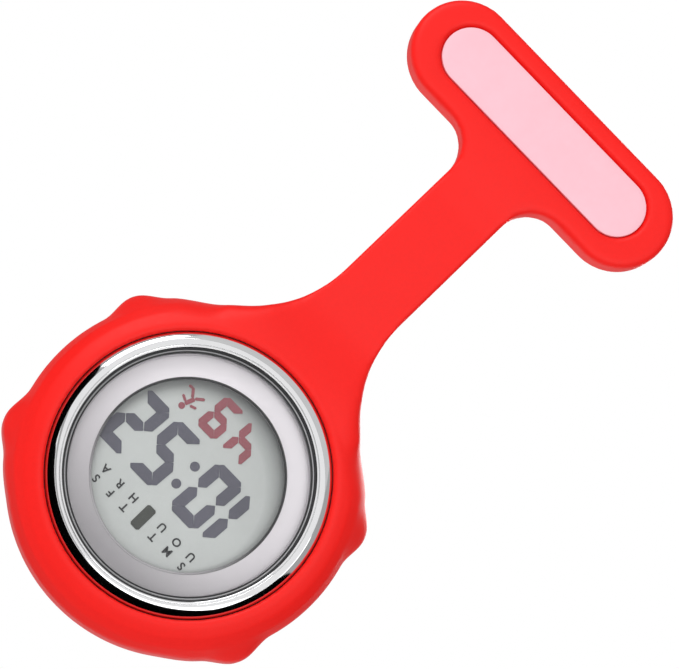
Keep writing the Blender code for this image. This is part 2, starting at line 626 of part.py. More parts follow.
def main():
    """Build the watch."""
    clear_scene()
    looks = make_materials()
    flex = empty("strap_flex_axis", (0, (STRAP_FRONT_Y + STRAP_BACK_Y) / 2, FLEX_Z))
    head = empty("watch_head", (0, HEAD_FRONT_Y - flex.location.y, WATCH_Z - FLEX_Z), flex)

    make_brooch_pad(looks["silicone"])
    make_label(looks["label"])
    make_pin_bar(looks["nickel"])
    make_rivet(looks["nickel"])
    make_needle(looks["nickel"])
    make_catch(looks["nickel"])
    make_safety_sleeve(looks["nickel"])
    make_pouch(looks["silicone"], head)
    make_case(looks, head)
    make_display(looks, head)
    make_module_frame(looks["module"], head)
    make_electronics(looks, head)
    make_power(looks, head)
    for index, pivot in enumerate(button_pivots(head, "button")):
        make_button(index + 1, pivot, looks)


main()
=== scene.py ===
"""Looks of a nurse's fob watch: a digital watch head in a soft silicone holder with a brooch pin.

Metres, +Z up along the strap, -Y towards the viewer, +X to the viewer's right. The bench works in
millimetres.
"""
import logging
from contextlib import contextmanager
from dataclasses import dataclass, field
from enum import Enum
from math import cos, hypot, pi, radians, sin, sqrt, tau
from typing import Callable, ClassVar, Iterator

import bmesh
import bpy
from mathutils import Matrix, Vector


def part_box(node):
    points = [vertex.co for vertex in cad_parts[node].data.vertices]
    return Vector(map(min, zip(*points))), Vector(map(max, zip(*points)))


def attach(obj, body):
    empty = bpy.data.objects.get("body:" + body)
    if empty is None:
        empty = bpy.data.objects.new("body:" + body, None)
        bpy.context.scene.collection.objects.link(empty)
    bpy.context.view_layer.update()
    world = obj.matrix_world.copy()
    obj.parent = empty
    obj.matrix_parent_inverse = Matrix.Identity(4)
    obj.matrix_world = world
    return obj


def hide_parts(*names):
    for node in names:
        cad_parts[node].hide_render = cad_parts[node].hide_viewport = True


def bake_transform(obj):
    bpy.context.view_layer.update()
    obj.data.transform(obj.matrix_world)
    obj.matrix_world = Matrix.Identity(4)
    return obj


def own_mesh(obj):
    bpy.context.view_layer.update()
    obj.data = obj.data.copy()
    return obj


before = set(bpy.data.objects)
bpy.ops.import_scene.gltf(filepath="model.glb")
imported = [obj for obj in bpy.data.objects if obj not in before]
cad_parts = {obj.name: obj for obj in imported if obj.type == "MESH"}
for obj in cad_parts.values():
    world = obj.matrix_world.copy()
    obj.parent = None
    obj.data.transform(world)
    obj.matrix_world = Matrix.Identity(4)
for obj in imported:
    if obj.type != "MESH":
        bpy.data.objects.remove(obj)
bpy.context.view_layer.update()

MM = 0.001
LOG = logging.getLogger("fob_watch")

Colour = tuple[float, float, float]
Point = tuple[float, float, float]
Profile = list[tuple[float, float]]
Test = Callable[[Vector, Vector], bool]
Socket = bpy.types.NodeSocket

HEAD = (0.0, -9.4, -58.4)      # top of the bezel on the watch's axis
FINE = 192                     # steps round a large turned piece
SMALL = 64                     # steps round a small turned piece
SHORT_OF_FULL = 0.9995         # keeps a bevel's two sides from meeting before they are merged
BEVEL_GAP = 0.015              # what is left between them


class Element(Enum):
    """What is picked in edit mode."""

    VERT = "VERT"
    EDGE = "EDGE"
    FACE = "FACE"


class Axis(Enum):
    """An axis to turn a piece about: its own direction, then the direction of its radius."""

    X = ((1, 0, 0), (0, 1, 0))
    Y = ((0, 1, 0), (1, 0, 0))
    Z = ((0, 0, 1), (1, 0, 0))


class Grain(Enum):
    """How a metal's surface was worked."""

    POLISHED = "polished"
    BRUSHED = "brushed"
    TURNED = "turned"
    STAMPED = "stamped"


# ---------------------------------------------------------------- finishes

class Board:
    """The node board of one material, with short ways to add nodes and wire them."""

    def __init__(self, name: str) -> None:
        """Starts a material with a plain Principled shader.

        Args:
            name: the material's name.
        """
        self.material = bpy.data.materials.new(name)
        self.material.use_nodes = True
        self.tree = self.material.node_tree
        self.shader = self.tree.nodes["Principled BSDF"]

    def set(self, **values: object) -> None:
        """Sets constants on the shader's own sockets.

        Args:
            values: socket names with underscores for spaces, and their values.
        """
        for name, value in values.items():
            self.shader.inputs[name.replace("_", " ")].default_value = value

    def add(self, kind: str, inputs: dict[str | int, object] | None = None,
            **settings: object) -> bpy.types.Node:
        """Adds a node.

        Args:
            kind: the node's type, without its ShaderNode prefix.
            inputs: values or sockets for its inputs, by name.
            settings: the node's own properties.

        Returns:
            The new node.
        """
        node = self.tree.nodes.new("ShaderNode" + kind)
        for name, value in settings.items():
            setattr(node, name, value)
        for name, value in (inputs or {}).items():
            if isinstance(value, bpy.types.NodeSocket):
                self.tree.links.new(value, node.inputs[name])
            else:
                node.inputs[name].default_value = value
        return node

    def wire(self, start: Socket, shader_input: str) -> None:
        """Wires a socket to one of the shader's inputs."""
        self.tree.links.new(start, self.shader.inputs[shader_input])

    def place(self, centre: Point = (0, 0, 0), stretch: Point = (1, 1, 1)) -> Socket:
        """Object coordinates in millimetres about a centre, stretched.

        Args:
            centre: where the pattern is centred, in millimetres.
            stretch: how far the pattern is squeezed along each axis.

        Returns:
            The vector socket.
        """
        coordinates = self.add("TexCoord")
        scale = [s / MM for s in stretch]
        location = [-c * s for c, s in zip(centre, stretch)]
        mapping = self.add("Mapping", {"Vector": coordinates.outputs["Object"], "Location": location,
                                       "Scale": scale})
        return mapping.outputs["Vector"]

    def noise(self, vector: Socket, scale: float, detail: float = 3.0,
              roughness: float = 0.55) -> Socket:
        """Noise over a vector, with its scale in bumps per millimetre.

        Args:
            vector: the coordinates.
            scale: bumps per millimetre.
            detail: octaves.
            roughness: strength of the finer octaves.

        Returns:
            The value socket.
        """
        node = self.add("TexNoise", {"Vector": vector, "Scale": scale, "Detail": detail,
                                     "Roughness": roughness})
        return node.outputs["Fac"]

    def spread(self, value: Socket, low: float, high: float, start: float = 0.3,
               end: float = 0.7) -> Socket:
        """Maps a value between start and end to a range from low to high.

        Args:
            value: the value socket.
            low: the result at start.
            high: the result at end.
            start: the value that gives low.
            end: the value that gives high.

        Returns:
            The mapped value socket.
        """
        node = self.add("MapRange", {"Value": value, "From Min": start, "From Max": end,
                                     "To Min": low, "To Max": high})
        return node.outputs["Result"]

    def blend(self, share: Socket, first: Colour, second: Colour) -> Socket:
        """A colour between two, by a share from 0 to 1.

        Args:
            share: the share of the second colour.
            first: the colour at 0.
            second: the colour at 1.

        Returns:
            The colour socket.
        """
        node = self.add("ValToRGB", {"Fac": share})
        node.color_ramp.elements[0].color = (*first, 1)
        node.color_ramp.elements[1].color = (*second, 1)
        return node.outputs["Color"]

    def distance(self, centre: Point) -> Socket:
        """Distance in millimetres from an axis along Y through a centre."""
        flat = self.place(centre, (1, 0, 1))
        return self.add("VectorMath", {0: flat}, operation="LENGTH").outputs["Value"]

    def radius(self, centre: Point) -> Socket:
        """Distance from an axis along Y, as a vector for noise along the radius only."""
        return self.add("CombineXYZ", {"X": self.distance(centre)}).outputs["Vector"]

    def darken(self, colour: Socket, share: Socket, dark: Colour) -> Socket:
        """Blends a colour towards a dark one by a share.

        Args:
            colour: the colour socket.
            share: how much of the dark colour.
            dark: the dark colour.

        Returns:
            The colour socket.
        """
        mix = self.add("Mix", {"Factor": share, "A": colour, "B": (*dark, 1)}, data_type="RGBA")
        return mix.outputs["Result"]

    def height(self, centre: Point) -> Socket:
        """Height above a centre in millimetres."""
        return self.add("SeparateXYZ", {"Vector": self.place(centre)}).outputs["Z"]

    def relief(self, *layers: tuple[Socket, float]) -> None:
        """Lays bumps over each other and wires the last to the shader.

        Args:
            layers: height sockets with their depth in millimetres.
        """
        below = None
        for height, depth in layers:
            inputs = {"Height": height, "Distance": depth * MM, "Strength": 1.0}
            if below is not None:
                inputs["Normal"] = below
            below = self.add("Bump", inputs).outputs["Normal"]
        self.wire(below, "Normal")


def shaded(colour: Colour, factor: float) -> Colour:
    """A colour made lighter or darker by a factor."""
    return tuple(min(1.0, channel * factor) for channel in colour)


@dataclass(frozen=True)
class Moulded:
    """A moulded soft or hard plastic: an eroded grain and faint mottling."""

    name: str
    colour: Colour
    roughness: float = 0.5
    grain: float = 6.0
    grain_depth: float = 0.004
    mottle: float = 0.05
    sheen: float = 0.0
    softness: float = 0.0
    specular: float = 0.5

    def make(self) -> bpy.types.Material:
        """Builds the node material.

        Returns:
            The material.
        """
        board = Board(self.name)
        place = board.place()
        cloud = board.noise(place, scale=0.12, detail=4.0)
        speck = board.noise(place, scale=2.3, detail=5.0, roughness=0.65)
        mottled = board.add("Math", {0: cloud, 1: speck}, operation="ADD").outputs["Value"]
        share = board.spread(mottled, 0.0, 1.0, start=0.8, end=1.2)
        board.wire(board.blend(share, shaded(self.colour, 1 - self.mottle), self.colour), "Base Color")
        board.wire(board.spread(speck, self.roughness * 0.92, self.roughness * 1.1), "Roughness")
        fine = board.noise(place, scale=self.grain, detail=3.0, roughness=0.7)
        board.relief((cloud, self.grain_depth * 4), (fine, self.grain_depth))
        board.set(Specular_IOR_Level=self.specular, Sheen_Weight=self.sheen, Sheen_Roughness=0.45,
                  Subsurface_Weight=self.softness, Subsurface_Scale=1.2 * MM,
                  Subsurface_Radius=(1.0, 0.25, 0.2))
        return board.material


@dataclass(frozen=True)
class Metal:
    """A metal, with the marks of how it was worked and a little tarnish. A painted shade darkens it
    downwards.
    """

    name: str
    colour: Colour
    roughness: float
    grain: Grain
    grain_depth: float = 0.0015
    tarnish: float = 0.08
    metallic: float = 1.0
    painted_shade: float = 0.0
    painted_shade_reach: float = 12.6
    painted_shade_power: float = 2.0
    centre: Point = HEAD

    def worked(self, board: Board) -> Socket:
        """The height of the tool marks.

        Args:
            board: the material's node board.

        Returns:
            The height socket.
        """
        if self.grain is Grain.TURNED:
            return board.noise(board.radius(self.centre), scale=9.0, detail=6.0, roughness=0.75)
        if self.grain is Grain.BRUSHED:
            along = board.place(stretch=(0.04, 1, 1))
            return board.noise(along, scale=14.0, detail=4.0, roughness=0.7)
        if self.grain is Grain.STAMPED:
            return board.noise(board.place(), scale=3.0, detail=5.0, roughness=0.65)
        return board.noise(board.place(), scale=0.6, detail=2.0, roughness=0.4)

    def make(self) -> bpy.types.Material:
        """Builds the node material.

        Returns:
            The material.
        """
        board = Board(self.name)
        marks = self.worked(board)
        stain = board.noise(board.place(), scale=0.35, detail=5.0, roughness=0.6)
        stained = shaded(self.colour, 1 - self.tarnish)
        colour = board.blend(board.spread(stain, 0.0, 1.0), stained, self.colour)
        # painted shade: the colour darkens towards the bottom, where less light falls
        if self.painted_shade:
            low = board.spread(board.height(self.centre), 1.0, 0.0, -self.painted_shade_reach, self.painted_shade_reach)
            painted_shade_share = board.add("Math", {0: low, 1: self.painted_shade_power}, operation="POWER").outputs["Value"]
            colour = board.darken(colour, painted_shade_share, shaded(self.colour, 1 - self.painted_shade))
        board.wire(colour, "Base Color")
        board.wire(board.spread(marks, self.roughness * 0.8, self.roughness * 1.25), "Roughness")
        board.relief((marks, self.grain_depth))
        board.set(Metallic=self.metallic)
        return board.material


@dataclass(frozen=True)
class ClearGlass:
    """A clear sheet: nearly see-through face on, and brighter at a low angle; the brightness is its
    white body showing through, a painted reflection.
    """

    name: str
    tint: Colour
    cover: float = 0.02
    rim: float = 0.35
    roughness: float = 0.02

    def make(self) -> bpy.types.Material:
        """Builds the node material.

        Returns:
            The material.
        """
        board = Board(self.name)
        smear = board.noise(board.place(), scale=0.25, detail=4.0, roughness=0.6)
        smeared = shaded(self.tint, 0.95)
        board.wire(board.blend(board.spread(smear, 0.0, 1.0), smeared, self.tint), "Base Color")
        board.wire(board.spread(smear, self.roughness, self.roughness * 3), "Roughness")
        # painted reflection: the white, partly opaque body shows faintly face on and more at a low angle
        facing = board.add("LayerWeight", {"Blend": 0.25}).outputs["Facing"]
        board.wire(board.spread(facing, self.cover, self.rim, start=0.0, end=1.0), "Alpha")
        board.set(IOR=1.5)
        board.material.surface_render_method = "BLENDED"
        return board.material


@dataclass(frozen=True)
class Printed:
    """Printed or laid-down colour: a card, ink, or the display's ground.

    A painted shade darkens it from bottom to top. A painted shadow darkens it outside a circle, whose
    centre lies a drop below the watch's axis.
    """

    name: str
    colour: Colour
    roughness: float = 0.5
    fibre: float = 1.5
    contrast: float = 0.06
    depth: float = 0.002
    coat: float = 0.0
    painted_shade: float = 0.0
    painted_shade_reach: float = 12.0
    painted_shade_keep: float = 0.45
    shade: float = 0.0
    shade_drop: float = 1.5
    shade_start: float = 9.9
    shade_end: float = 12.9
    shade_keep: float = 0.12
    centre: Point = HEAD

    def make(self) -> bpy.types.Material:
        """Builds the node material.

        Returns:
            The material.
        """
        board = Board(self.name)
        place = board.place()
        cloud = board.noise(place, scale=0.2, detail=3.0)
        fine = board.noise(place, scale=self.fibre, detail=5.0, roughness=0.7)
        both = board.add("Math", {0: cloud, 1: fine}, operation="ADD").outputs["Value"]
        share = board.spread(both, 0.0, 1.0, start=0.8, end=1.2)
        colour = board.blend(share, shaded(self.colour, 1 - self.contrast), self.colour)
        # painted shade: the colour darkens towards the top
        if self.painted_shade:
            height = board.height(self.centre)
            painted_shade_share = board.spread(height, 0.0, self.painted_shade, -self.painted_shade_reach, self.painted_shade_reach)
            colour = board.darken(colour, painted_shade_share, shaded(self.colour, self.painted_shade_keep))
        # painted shadow: the colour darkens outside a circle set a little below the middle, most on the
        # upper side
        if self.shade:
            x, y, z = self.centre
            away = board.distance((x, y, z - self.shade_drop))
            rim = board.spread(away, 0.0, self.shade, self.shade_start, self.shade_end)
            colour = board.darken(colour, rim, shaded(self.colour, self.shade_keep))
        board.wire(colour, "Base Color")
        board.wire(board.spread(fine, self.roughness * 0.9, self.roughness * 1.1), "Roughness")
        board.relief((fine, self.depth))
        board.set(Coat_Weight=self.coat, Coat_Roughness=0.15)
        return board.material


class Look(Enum):
    """Every finish of the watch."""

    SILICONE = Moulded("red_silicone", (0.88, 0.006, 0.003), roughness=0.46, mottle=0.04, sheen=0.01,
                       softness=0.08, specular=0.22)
    LABEL = Printed("pink_label_card", (0.90, 0.505, 0.575), roughness=0.45, fibre=0.9, contrast=0.04,
                    coat=0.15)
    CHROME = Metal("polished_chrome", (0.86, 0.86, 0.87), 0.06, Grain.POLISHED, grain_depth=0.0004,
                   tarnish=0.03)
    # painted shade on the display ring: darker towards the bottom, lighter at the top
    RING = Metal("silver_display_ring", (0.78, 0.745, 0.775), 0.34, Grain.TURNED, grain_depth=0.0006,
                 tarnish=0.03, metallic=0.5, painted_shade=0.58)
    CRYSTAL = ClearGlass("clear_crystal", (0.95, 0.97, 1.0))
    NYLON = Moulded("pale_nylon", (0.42, 0.42, 0.43), roughness=0.4, grain=4.0)
    GASKET = Moulded("black_gasket_rubber", (0.016, 0.016, 0.018), roughness=0.55, grain=4.0)
    # painted shade and painted shadow on the display's ground: darker towards the top and inside the
    # window's upper rim
    DISPLAY = Printed("display_ground", (0.56, 0.585, 0.57), roughness=0.38, fibre=2.5, contrast=0.05,
                      depth=0.001, painted_shade=0.3, shade=0.85)
    DIGITS = Printed("display_slate_segments", (0.085, 0.083, 0.115), roughness=0.4, fibre=3.0,
                     contrast=0.25)
    SECONDS = Printed("display_red_segments", (0.28, 0.055, 0.075), roughness=0.4, fibre=3.0,
                      contrast=0.2)
    # painted shadow: a dark ring at the window's upper edge, fading to the ring's colour below
    WINDOW_LINE = Printed("window_edge_painted_shadow", (0.40, 0.385, 0.40), roughness=0.4, fibre=3.0,
                          contrast=0.1, shade=1.0, shade_start=9.9, shade_end=11.2, shade_keep=0.02)
    MARKER = Printed("display_marker_bar", (0.035, 0.04, 0.03), roughness=0.4, fibre=3.0, contrast=0.2)
    LETTERS = Printed("display_letters", (0.012, 0.012, 0.014), roughness=0.45, fibre=4.0, contrast=0.2)
    STEEL = Metal("turned_steel", (0.56, 0.555, 0.55), 0.24, Grain.TURNED, grain_depth=0.002,
                  tarnish=0.07)
    NICKEL = Metal("stamped_nickel", (0.62, 0.60, 0.56), 0.22, Grain.STAMPED, grain_depth=0.002,
                   tarnish=0.10)
    NEEDLE = Metal("drawn_needle_steel", (0.64, 0.64, 0.65), 0.16, Grain.BRUSHED, grain_depth=0.001,
                   tarnish=0.05)
    SPRING = Metal("spring_steel", (0.55, 0.53, 0.50), 0.28, Grain.BRUSHED, grain_depth=0.001,
                   tarnish=0.08)
    CASE = Moulded("grey_case_plastic", (0.10, 0.10, 0.11), roughness=0.42, grain=3.0)
    MODULE = Moulded("white_module_plastic", (0.72, 0.72, 0.70), roughness=0.45, grain=3.0)
    GLASS = ClearGlass("display_glass", (0.80, 0.86, 0.84), cover=0.25, rim=0.6)
    REFLECTOR = Metal("display_reflector", (0.66, 0.68, 0.66), 0.4, Grain.STAMPED, grain_depth=0.001)
    BOARD_GREEN = Printed("green_circuit_board", (0.012, 0.13, 0.05), roughness=0.35, fibre=2.0,
                          contrast=0.35, coat=0.5)
    EPOXY = Moulded("black_epoxy", (0.012, 0.012, 0.012), roughness=0.22, grain=1.0, mottle=0.2)
    CERAMIC = Moulded("tan_ceramic", (0.45, 0.36, 0.27), roughness=0.6, grain=5.0, mottle=0.15)
    LAMP = Moulded("lamp_resin", (0.85, 0.90, 0.70), roughness=0.25, grain=2.0)

    def material(self) -> bpy.types.Material:
        """The finish's material, made when it is first asked for."""
        return bpy.data.materials.get(self.value.name) or self.value.make()


# ---------------------------------------------------------------- the bench

def metres(point: Point) -> Vector:
    """A point in millimetres as a vector in metres."""
    return Vector(point) * MM


def clamped(value: float) -> float:
    """A value kept between 0 and 1."""
    return min(1.0, max(0.0, value))


def eased(value: float, start: float, end: float) -> float:
    """A smooth rise from 0 at one value to 1 at another.

    Args:
        value: the value.
        start: where the rise starts.
        end: where it ends.

    Returns:
        The rise, from 0 to 1.
    """
    share = clamped((start - value) / (start - end))
    return share * share * (3 - 2 * share)


def clear_selection() -> None:
    """Leaves edit mode and deselects everything."""
    if bpy.context.mode != "OBJECT":
        bpy.ops.object.mode_set(mode="OBJECT")
    bpy.ops.object.select_all(action="DESELECT")


class Piece:
    """One piece on the bench. Its methods take millimetres and shape it as by hand."""

    def __init__(self, name: str, shape: bpy.types.Object | None = None) -> None:
        """Takes up a shape, names it and sets its place in its mesh.

        Args:
            name: the piece's name.
            shape: its object; without one it is the primitive just added.
        """
        self.shape = shape or bpy.context.object
        self.shape.name = name
        self.shape.data.name = name
        self.seat()

    @classmethod
    def block(cls, name: str, low: Point, high: Point) -> "Piece":
        """Adds a cube at its size and place.

        Args:
            name: the piece's name.
            low: its lowest corner.
            high: its highest corner.

        Returns:
            The piece.
        """
        clear_selection()
        middle = (metres(low) + metres(high)) / 2
        bpy.ops.mesh.primitive_cube_add(size=1.0, location=middle, scale=metres(high) - metres(low))
        return cls(name)

    @classmethod
    def rod(cls, name: str, radius: float, start: Point, end: Point, steps: int = SMALL) -> "Piece":
        """Adds a round bar between two points.

        Args:
            name: the piece's name.
            radius: its radius.
            start: the middle of one end.
            end: the middle of the other end.
            steps: facets round it.

        Returns:
            The piece.
        """
        clear_selection()
        along = metres(end) - metres(start)
        turn = along.to_track_quat("Z", "Y").to_euler()
        bpy.ops.mesh.primitive_cylinder_add(vertices=steps, radius=radius * MM, depth=along.length,
                                            location=(metres(start) + metres(end)) / 2, rotation=turn)
        return cls(name)

    @classmethod
    def turned(cls, name: str, profile: Profile, centre: Point = HEAD, axis: Axis = Axis.Y,
               steps: int = FINE) -> "Piece":
        """Turns a profile of radius and height about an axis.

        Args:
            name: the piece's name.
            profile: radius and height of each corner; a ring's last corner is its first again.
            centre: the point on the axis where height is 0.
            axis: the axis to turn about.
            steps: facets round the piece.

        Returns:
            The piece.
        """
        along, outward = (Vector(direction) * MM for direction in axis.value)
        points = [outward * radius + along * height for radius, height in profile]
        clear_selection()
        bpy.ops.mesh.primitive_plane_add(size=MM, location=metres(centre) + points[0])
        piece = cls(name)
        with piece.editing():
            bpy.ops.mesh.select_all(action="SELECT")
            bpy.ops.mesh.merge(type="CENTER")
            for here, there in zip(points, points[1:]):
                bpy.ops.mesh.extrude_vertices_move(TRANSFORM_OT_translate={"value": there - here})
            bpy.ops.mesh.select_all(action="SELECT")
            bpy.ops.mesh.spin(steps=steps, angle=tau, center=metres(centre), axis=along.normalized())
            piece.close_up()
        return piece

    @classmethod
    def stadium(cls, name: str, length: float, height: float, front: float, back: float,
                middle: float = 0.0, segments: int = 40) -> "Piece":
        """A bar along X with round ends, flat towards the viewer.

        Args:
            name: the piece's name.
            length: its whole length.
            height: its height and the diameter of its ends.
            front: where its front face is along Y.
            back: where its back face is along Y.
            middle: the height of its middle line.
            segments: facets of each quarter.

        Returns:
            The piece.
        """
        low = (-length / 2, front, middle - height / 2)
        piece = cls.block(name, low, (length / 2, back, middle + height / 2))
        piece.round_edges(lambda at, way: abs(way.y) > 0.9, height / 2, segments)
        return piece

    @contextmanager
    def editing(self) -> Iterator[None]:
        """Opens the piece in edit mode with nothing selected, and closes it again.

        Yields:
            Nothing; the work is done between.
        """
        clear_selection()
        bpy.context.view_layer.objects.active = self.shape
        self.shape.select_set(True)
        bpy.ops.object.mode_set(mode="EDIT")
        bpy.ops.mesh.select_all(action="DESELECT")
        bpy.ops.mesh.select_mode(type="VERT")
        yield
        bpy.ops.object.mode_set(mode="OBJECT")

    def take(self) -> None:
        """Makes the piece the only one selected."""
        clear_selection()
        bpy.context.view_layer.objects.active = self.shape
        self.shape.select_set(True)

    def seat(self) -> None:
        """Puts the piece's place, turn and scale into its mesh."""
        self.take()
        bpy.ops.object.transform_apply(location=True, rotation=True, scale=True)

    def pick(self, element: Element, test: Test) -> None:
        """Selects elements in edit mode.

        Args:
            element: vertices, edges or faces.
            test: takes an element's middle in millimetres and its normal, or an edge's direction.
        """
        bpy.ops.mesh.select_mode(type=element.value)
        mesh = bmesh.from_edit_mesh(self.shape.data)
        if element is Element.VERT:
            found = [(v, v.co, v.normal) for v in mesh.verts]
        elif element is Element.EDGE:
            ends = [(e, e.verts[0].co, e.verts[1].co) for e in mesh.edges]
            found = [(e, (start + end) / 2, (end - start).normalized()) for e, start, end in ends]
        else:
            found = [(f, f.calc_center_median(), f.normal) for f in mesh.faces]
        for item, middle, way in found:
            item.select_set(test(middle / MM, way))
        mesh.select_flush_mode()
        bmesh.update_edit_mesh(self.shape.data)

    def close_up(self, nearest: float = 0.001) -> None:
        """Merges near vertices and points all faces outwards, in edit mode.

        Args:
            nearest: vertices nearer than this are merged.
        """
        bpy.ops.mesh.select_all(action="SELECT")
        bpy.ops.mesh.remove_doubles(threshold=nearest * MM)
        bpy.ops.mesh.normals_make_consistent(inside=False)

    def round_edges(self, test: Test, offset: float, segments: int) -> "Piece":
        """Bevels the edges that pass a test.

        Args:
            test: takes an edge's middle and direction.
            offset: the bevel's width.
            segments: facets of the bevel.

        Returns:
            The piece.
        """
        with self.editing():
            self.pick(Element.EDGE, test)
            bpy.ops.mesh.bevel(offset=offset * MM * SHORT_OF_FULL, segments=segments, affect="EDGES")
            self.close_up(BEVEL_GAP)
        return self

    def push(self, element: Element, test: Test, offset: Point, reach: float = 0.0) -> "Piece":
        """Moves the elements that pass a test, with a soft reach round them.

        Args:
            element: vertices, edges or faces.
            test: takes an element's middle and normal.
            offset: how far they move.
            reach: how far the move fades out; 0 moves only them.

        Returns:
            The piece.
        """
        with self.editing():
            self.pick(element, test)
            bpy.ops.transform.translate(value=metres(offset), use_proportional_edit=reach > 0,
                                        proportional_edit_falloff="SMOOTH",
                                        proportional_size=max(reach, 0.001) * MM)
        return self

    def taper(self, test: Test, factors: Point, centre: Point) -> "Piece":
        """Resizes the faces that pass a test about a centre.

        Args:
            test: takes a face's middle and normal.
            factors: the size factor along each axis.
            centre: the point that stays.

        Returns:
            The piece.
        """
        with self.editing():
            self.pick(Element.FACE, test)
            bpy.ops.transform.resize(value=factors, center_override=metres(centre))
        return self

    def modify(self, kind: str, **settings: object) -> "Piece":
        """Adds a modifier and applies it.

        Args:
            kind: the modifier's type.
            settings: its properties.

        Returns:
            The piece.
        """
        modifier = self.shape.modifiers.new(kind.lower(), kind)
        for name, value in settings.items():
            setattr(modifier, name, value)
        self.take()
        bpy.ops.object.modifier_apply(modifier=modifier.name)
        return self

    def soften(self, width: float, segments: int = 3, angle: float = 30.0) -> "Piece":
        """Rounds every edge sharper than an angle.

        Args:
            width: the bevel's width.
            segments: facets of the bevel.
            angle: the least angle in degrees.

        Returns:
            The piece.
        """
        return self.modify("BEVEL", width=width * MM, segments=segments, limit_method="ANGLE",
                           angle_limit=radians(angle))

    def combine(self, operation: str, tools: "tuple[Piece, ...]") -> "Piece":
        """Adds or cuts away other pieces, which are used up.

        Args:
            operation: UNION or DIFFERENCE.
            tools: the other pieces.

        Returns:
            The piece.
        """
        for tool in tools:
            self.modify("BOOLEAN", operation=operation, solver="EXACT", object=tool.shape)
            bpy.data.objects.remove(tool.shape)
        return self

    def unite(self, *tools: "Piece") -> "Piece":
        """Adds other pieces to this one."""
        return self.combine("UNION", tools)

    def cut(self, *tools: "Piece") -> "Piece":
        """Cuts other pieces out of this one."""
        return self.combine("DIFFERENCE", tools)

    def gather(self, *others: "Piece") -> "Piece":
        """Joins loose pieces into this one.

        Args:
            others: the pieces, which are used up.

        Returns:
            The piece.
        """
        clear_selection()
        for other in others:
            other.shape.select_set(True)
        self.shape.select_set(True)
        bpy.context.view_layer.objects.active = self.shape
        bpy.ops.object.join()
        return self

    def copy(self, name: str) -> "Piece":
        """Copies the piece.

        Args:
            name: the copy's name.

        Returns:
            The copy, with its own mesh.
        """
        shape = self.shape.copy()
        shape.data = self.shape.data.copy()
        bpy.context.scene.collection.objects.link(shape)
        return Piece(name, shape)

    def turn(self, angle: float, axis: str, centre: Point) -> "Piece":
        """Turns the piece about an axis through a centre.

        Args:
            angle: degrees, right-handed.
            axis: X, Y or Z.
            centre: a point on the axis.

        Returns:
            The piece.
        """
        middle = Matrix.Translation(metres(centre))
        self.shape.matrix_world = middle @ Matrix.Rotation(radians(angle), 4, axis) @ middle.inverted()
        self.seat()
        return self

    def shift(self, offset: Point) -> "Piece":
        """Moves the whole piece.

        Args:
            offset: how far.

        Returns:
            The piece.
        """
        self.shape.location = metres(offset)
        self.seat()
        return self

    def scrap(self) -> None:
        """Throws the piece away."""
        bpy.data.objects.remove(self.shape)

    def smooth(self, angle: float = 35.0) -> "Piece":
        """Shades the piece smooth.

        Args:
            angle: the least angle in degrees that stays sharp.

        Returns:
            The piece.
        """
        self.take()
        bpy.ops.object.shade_smooth_by_angle(angle=radians(angle))
        return self

    def dress(self, look: Look, slot: str) -> "Piece":
        """Gives the piece its finish.

        Args:
            look: the finish.
            slot: the record's material slot; not used.

        Returns:
            The piece.
        """
        self.shape.data.materials.clear()
        self.shape.data.materials.append(look.material())
        LOG.info("%s: %d faces, %s", self.shape.name, len(self.shape.data.polygons), look.value.name)
        return self

    def mount(self, body: str, *nodes: str) -> "Piece":
        """Fixes the piece to a moving body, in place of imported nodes.

        Args:
            body: the body it rides on.
            nodes: the nodes it stands for.

        Returns:
            The piece.
        """
        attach(self.shape, body)
        if nodes:
            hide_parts(*nodes)
        return self


# ---------------------------------------------------------------- silicone holder

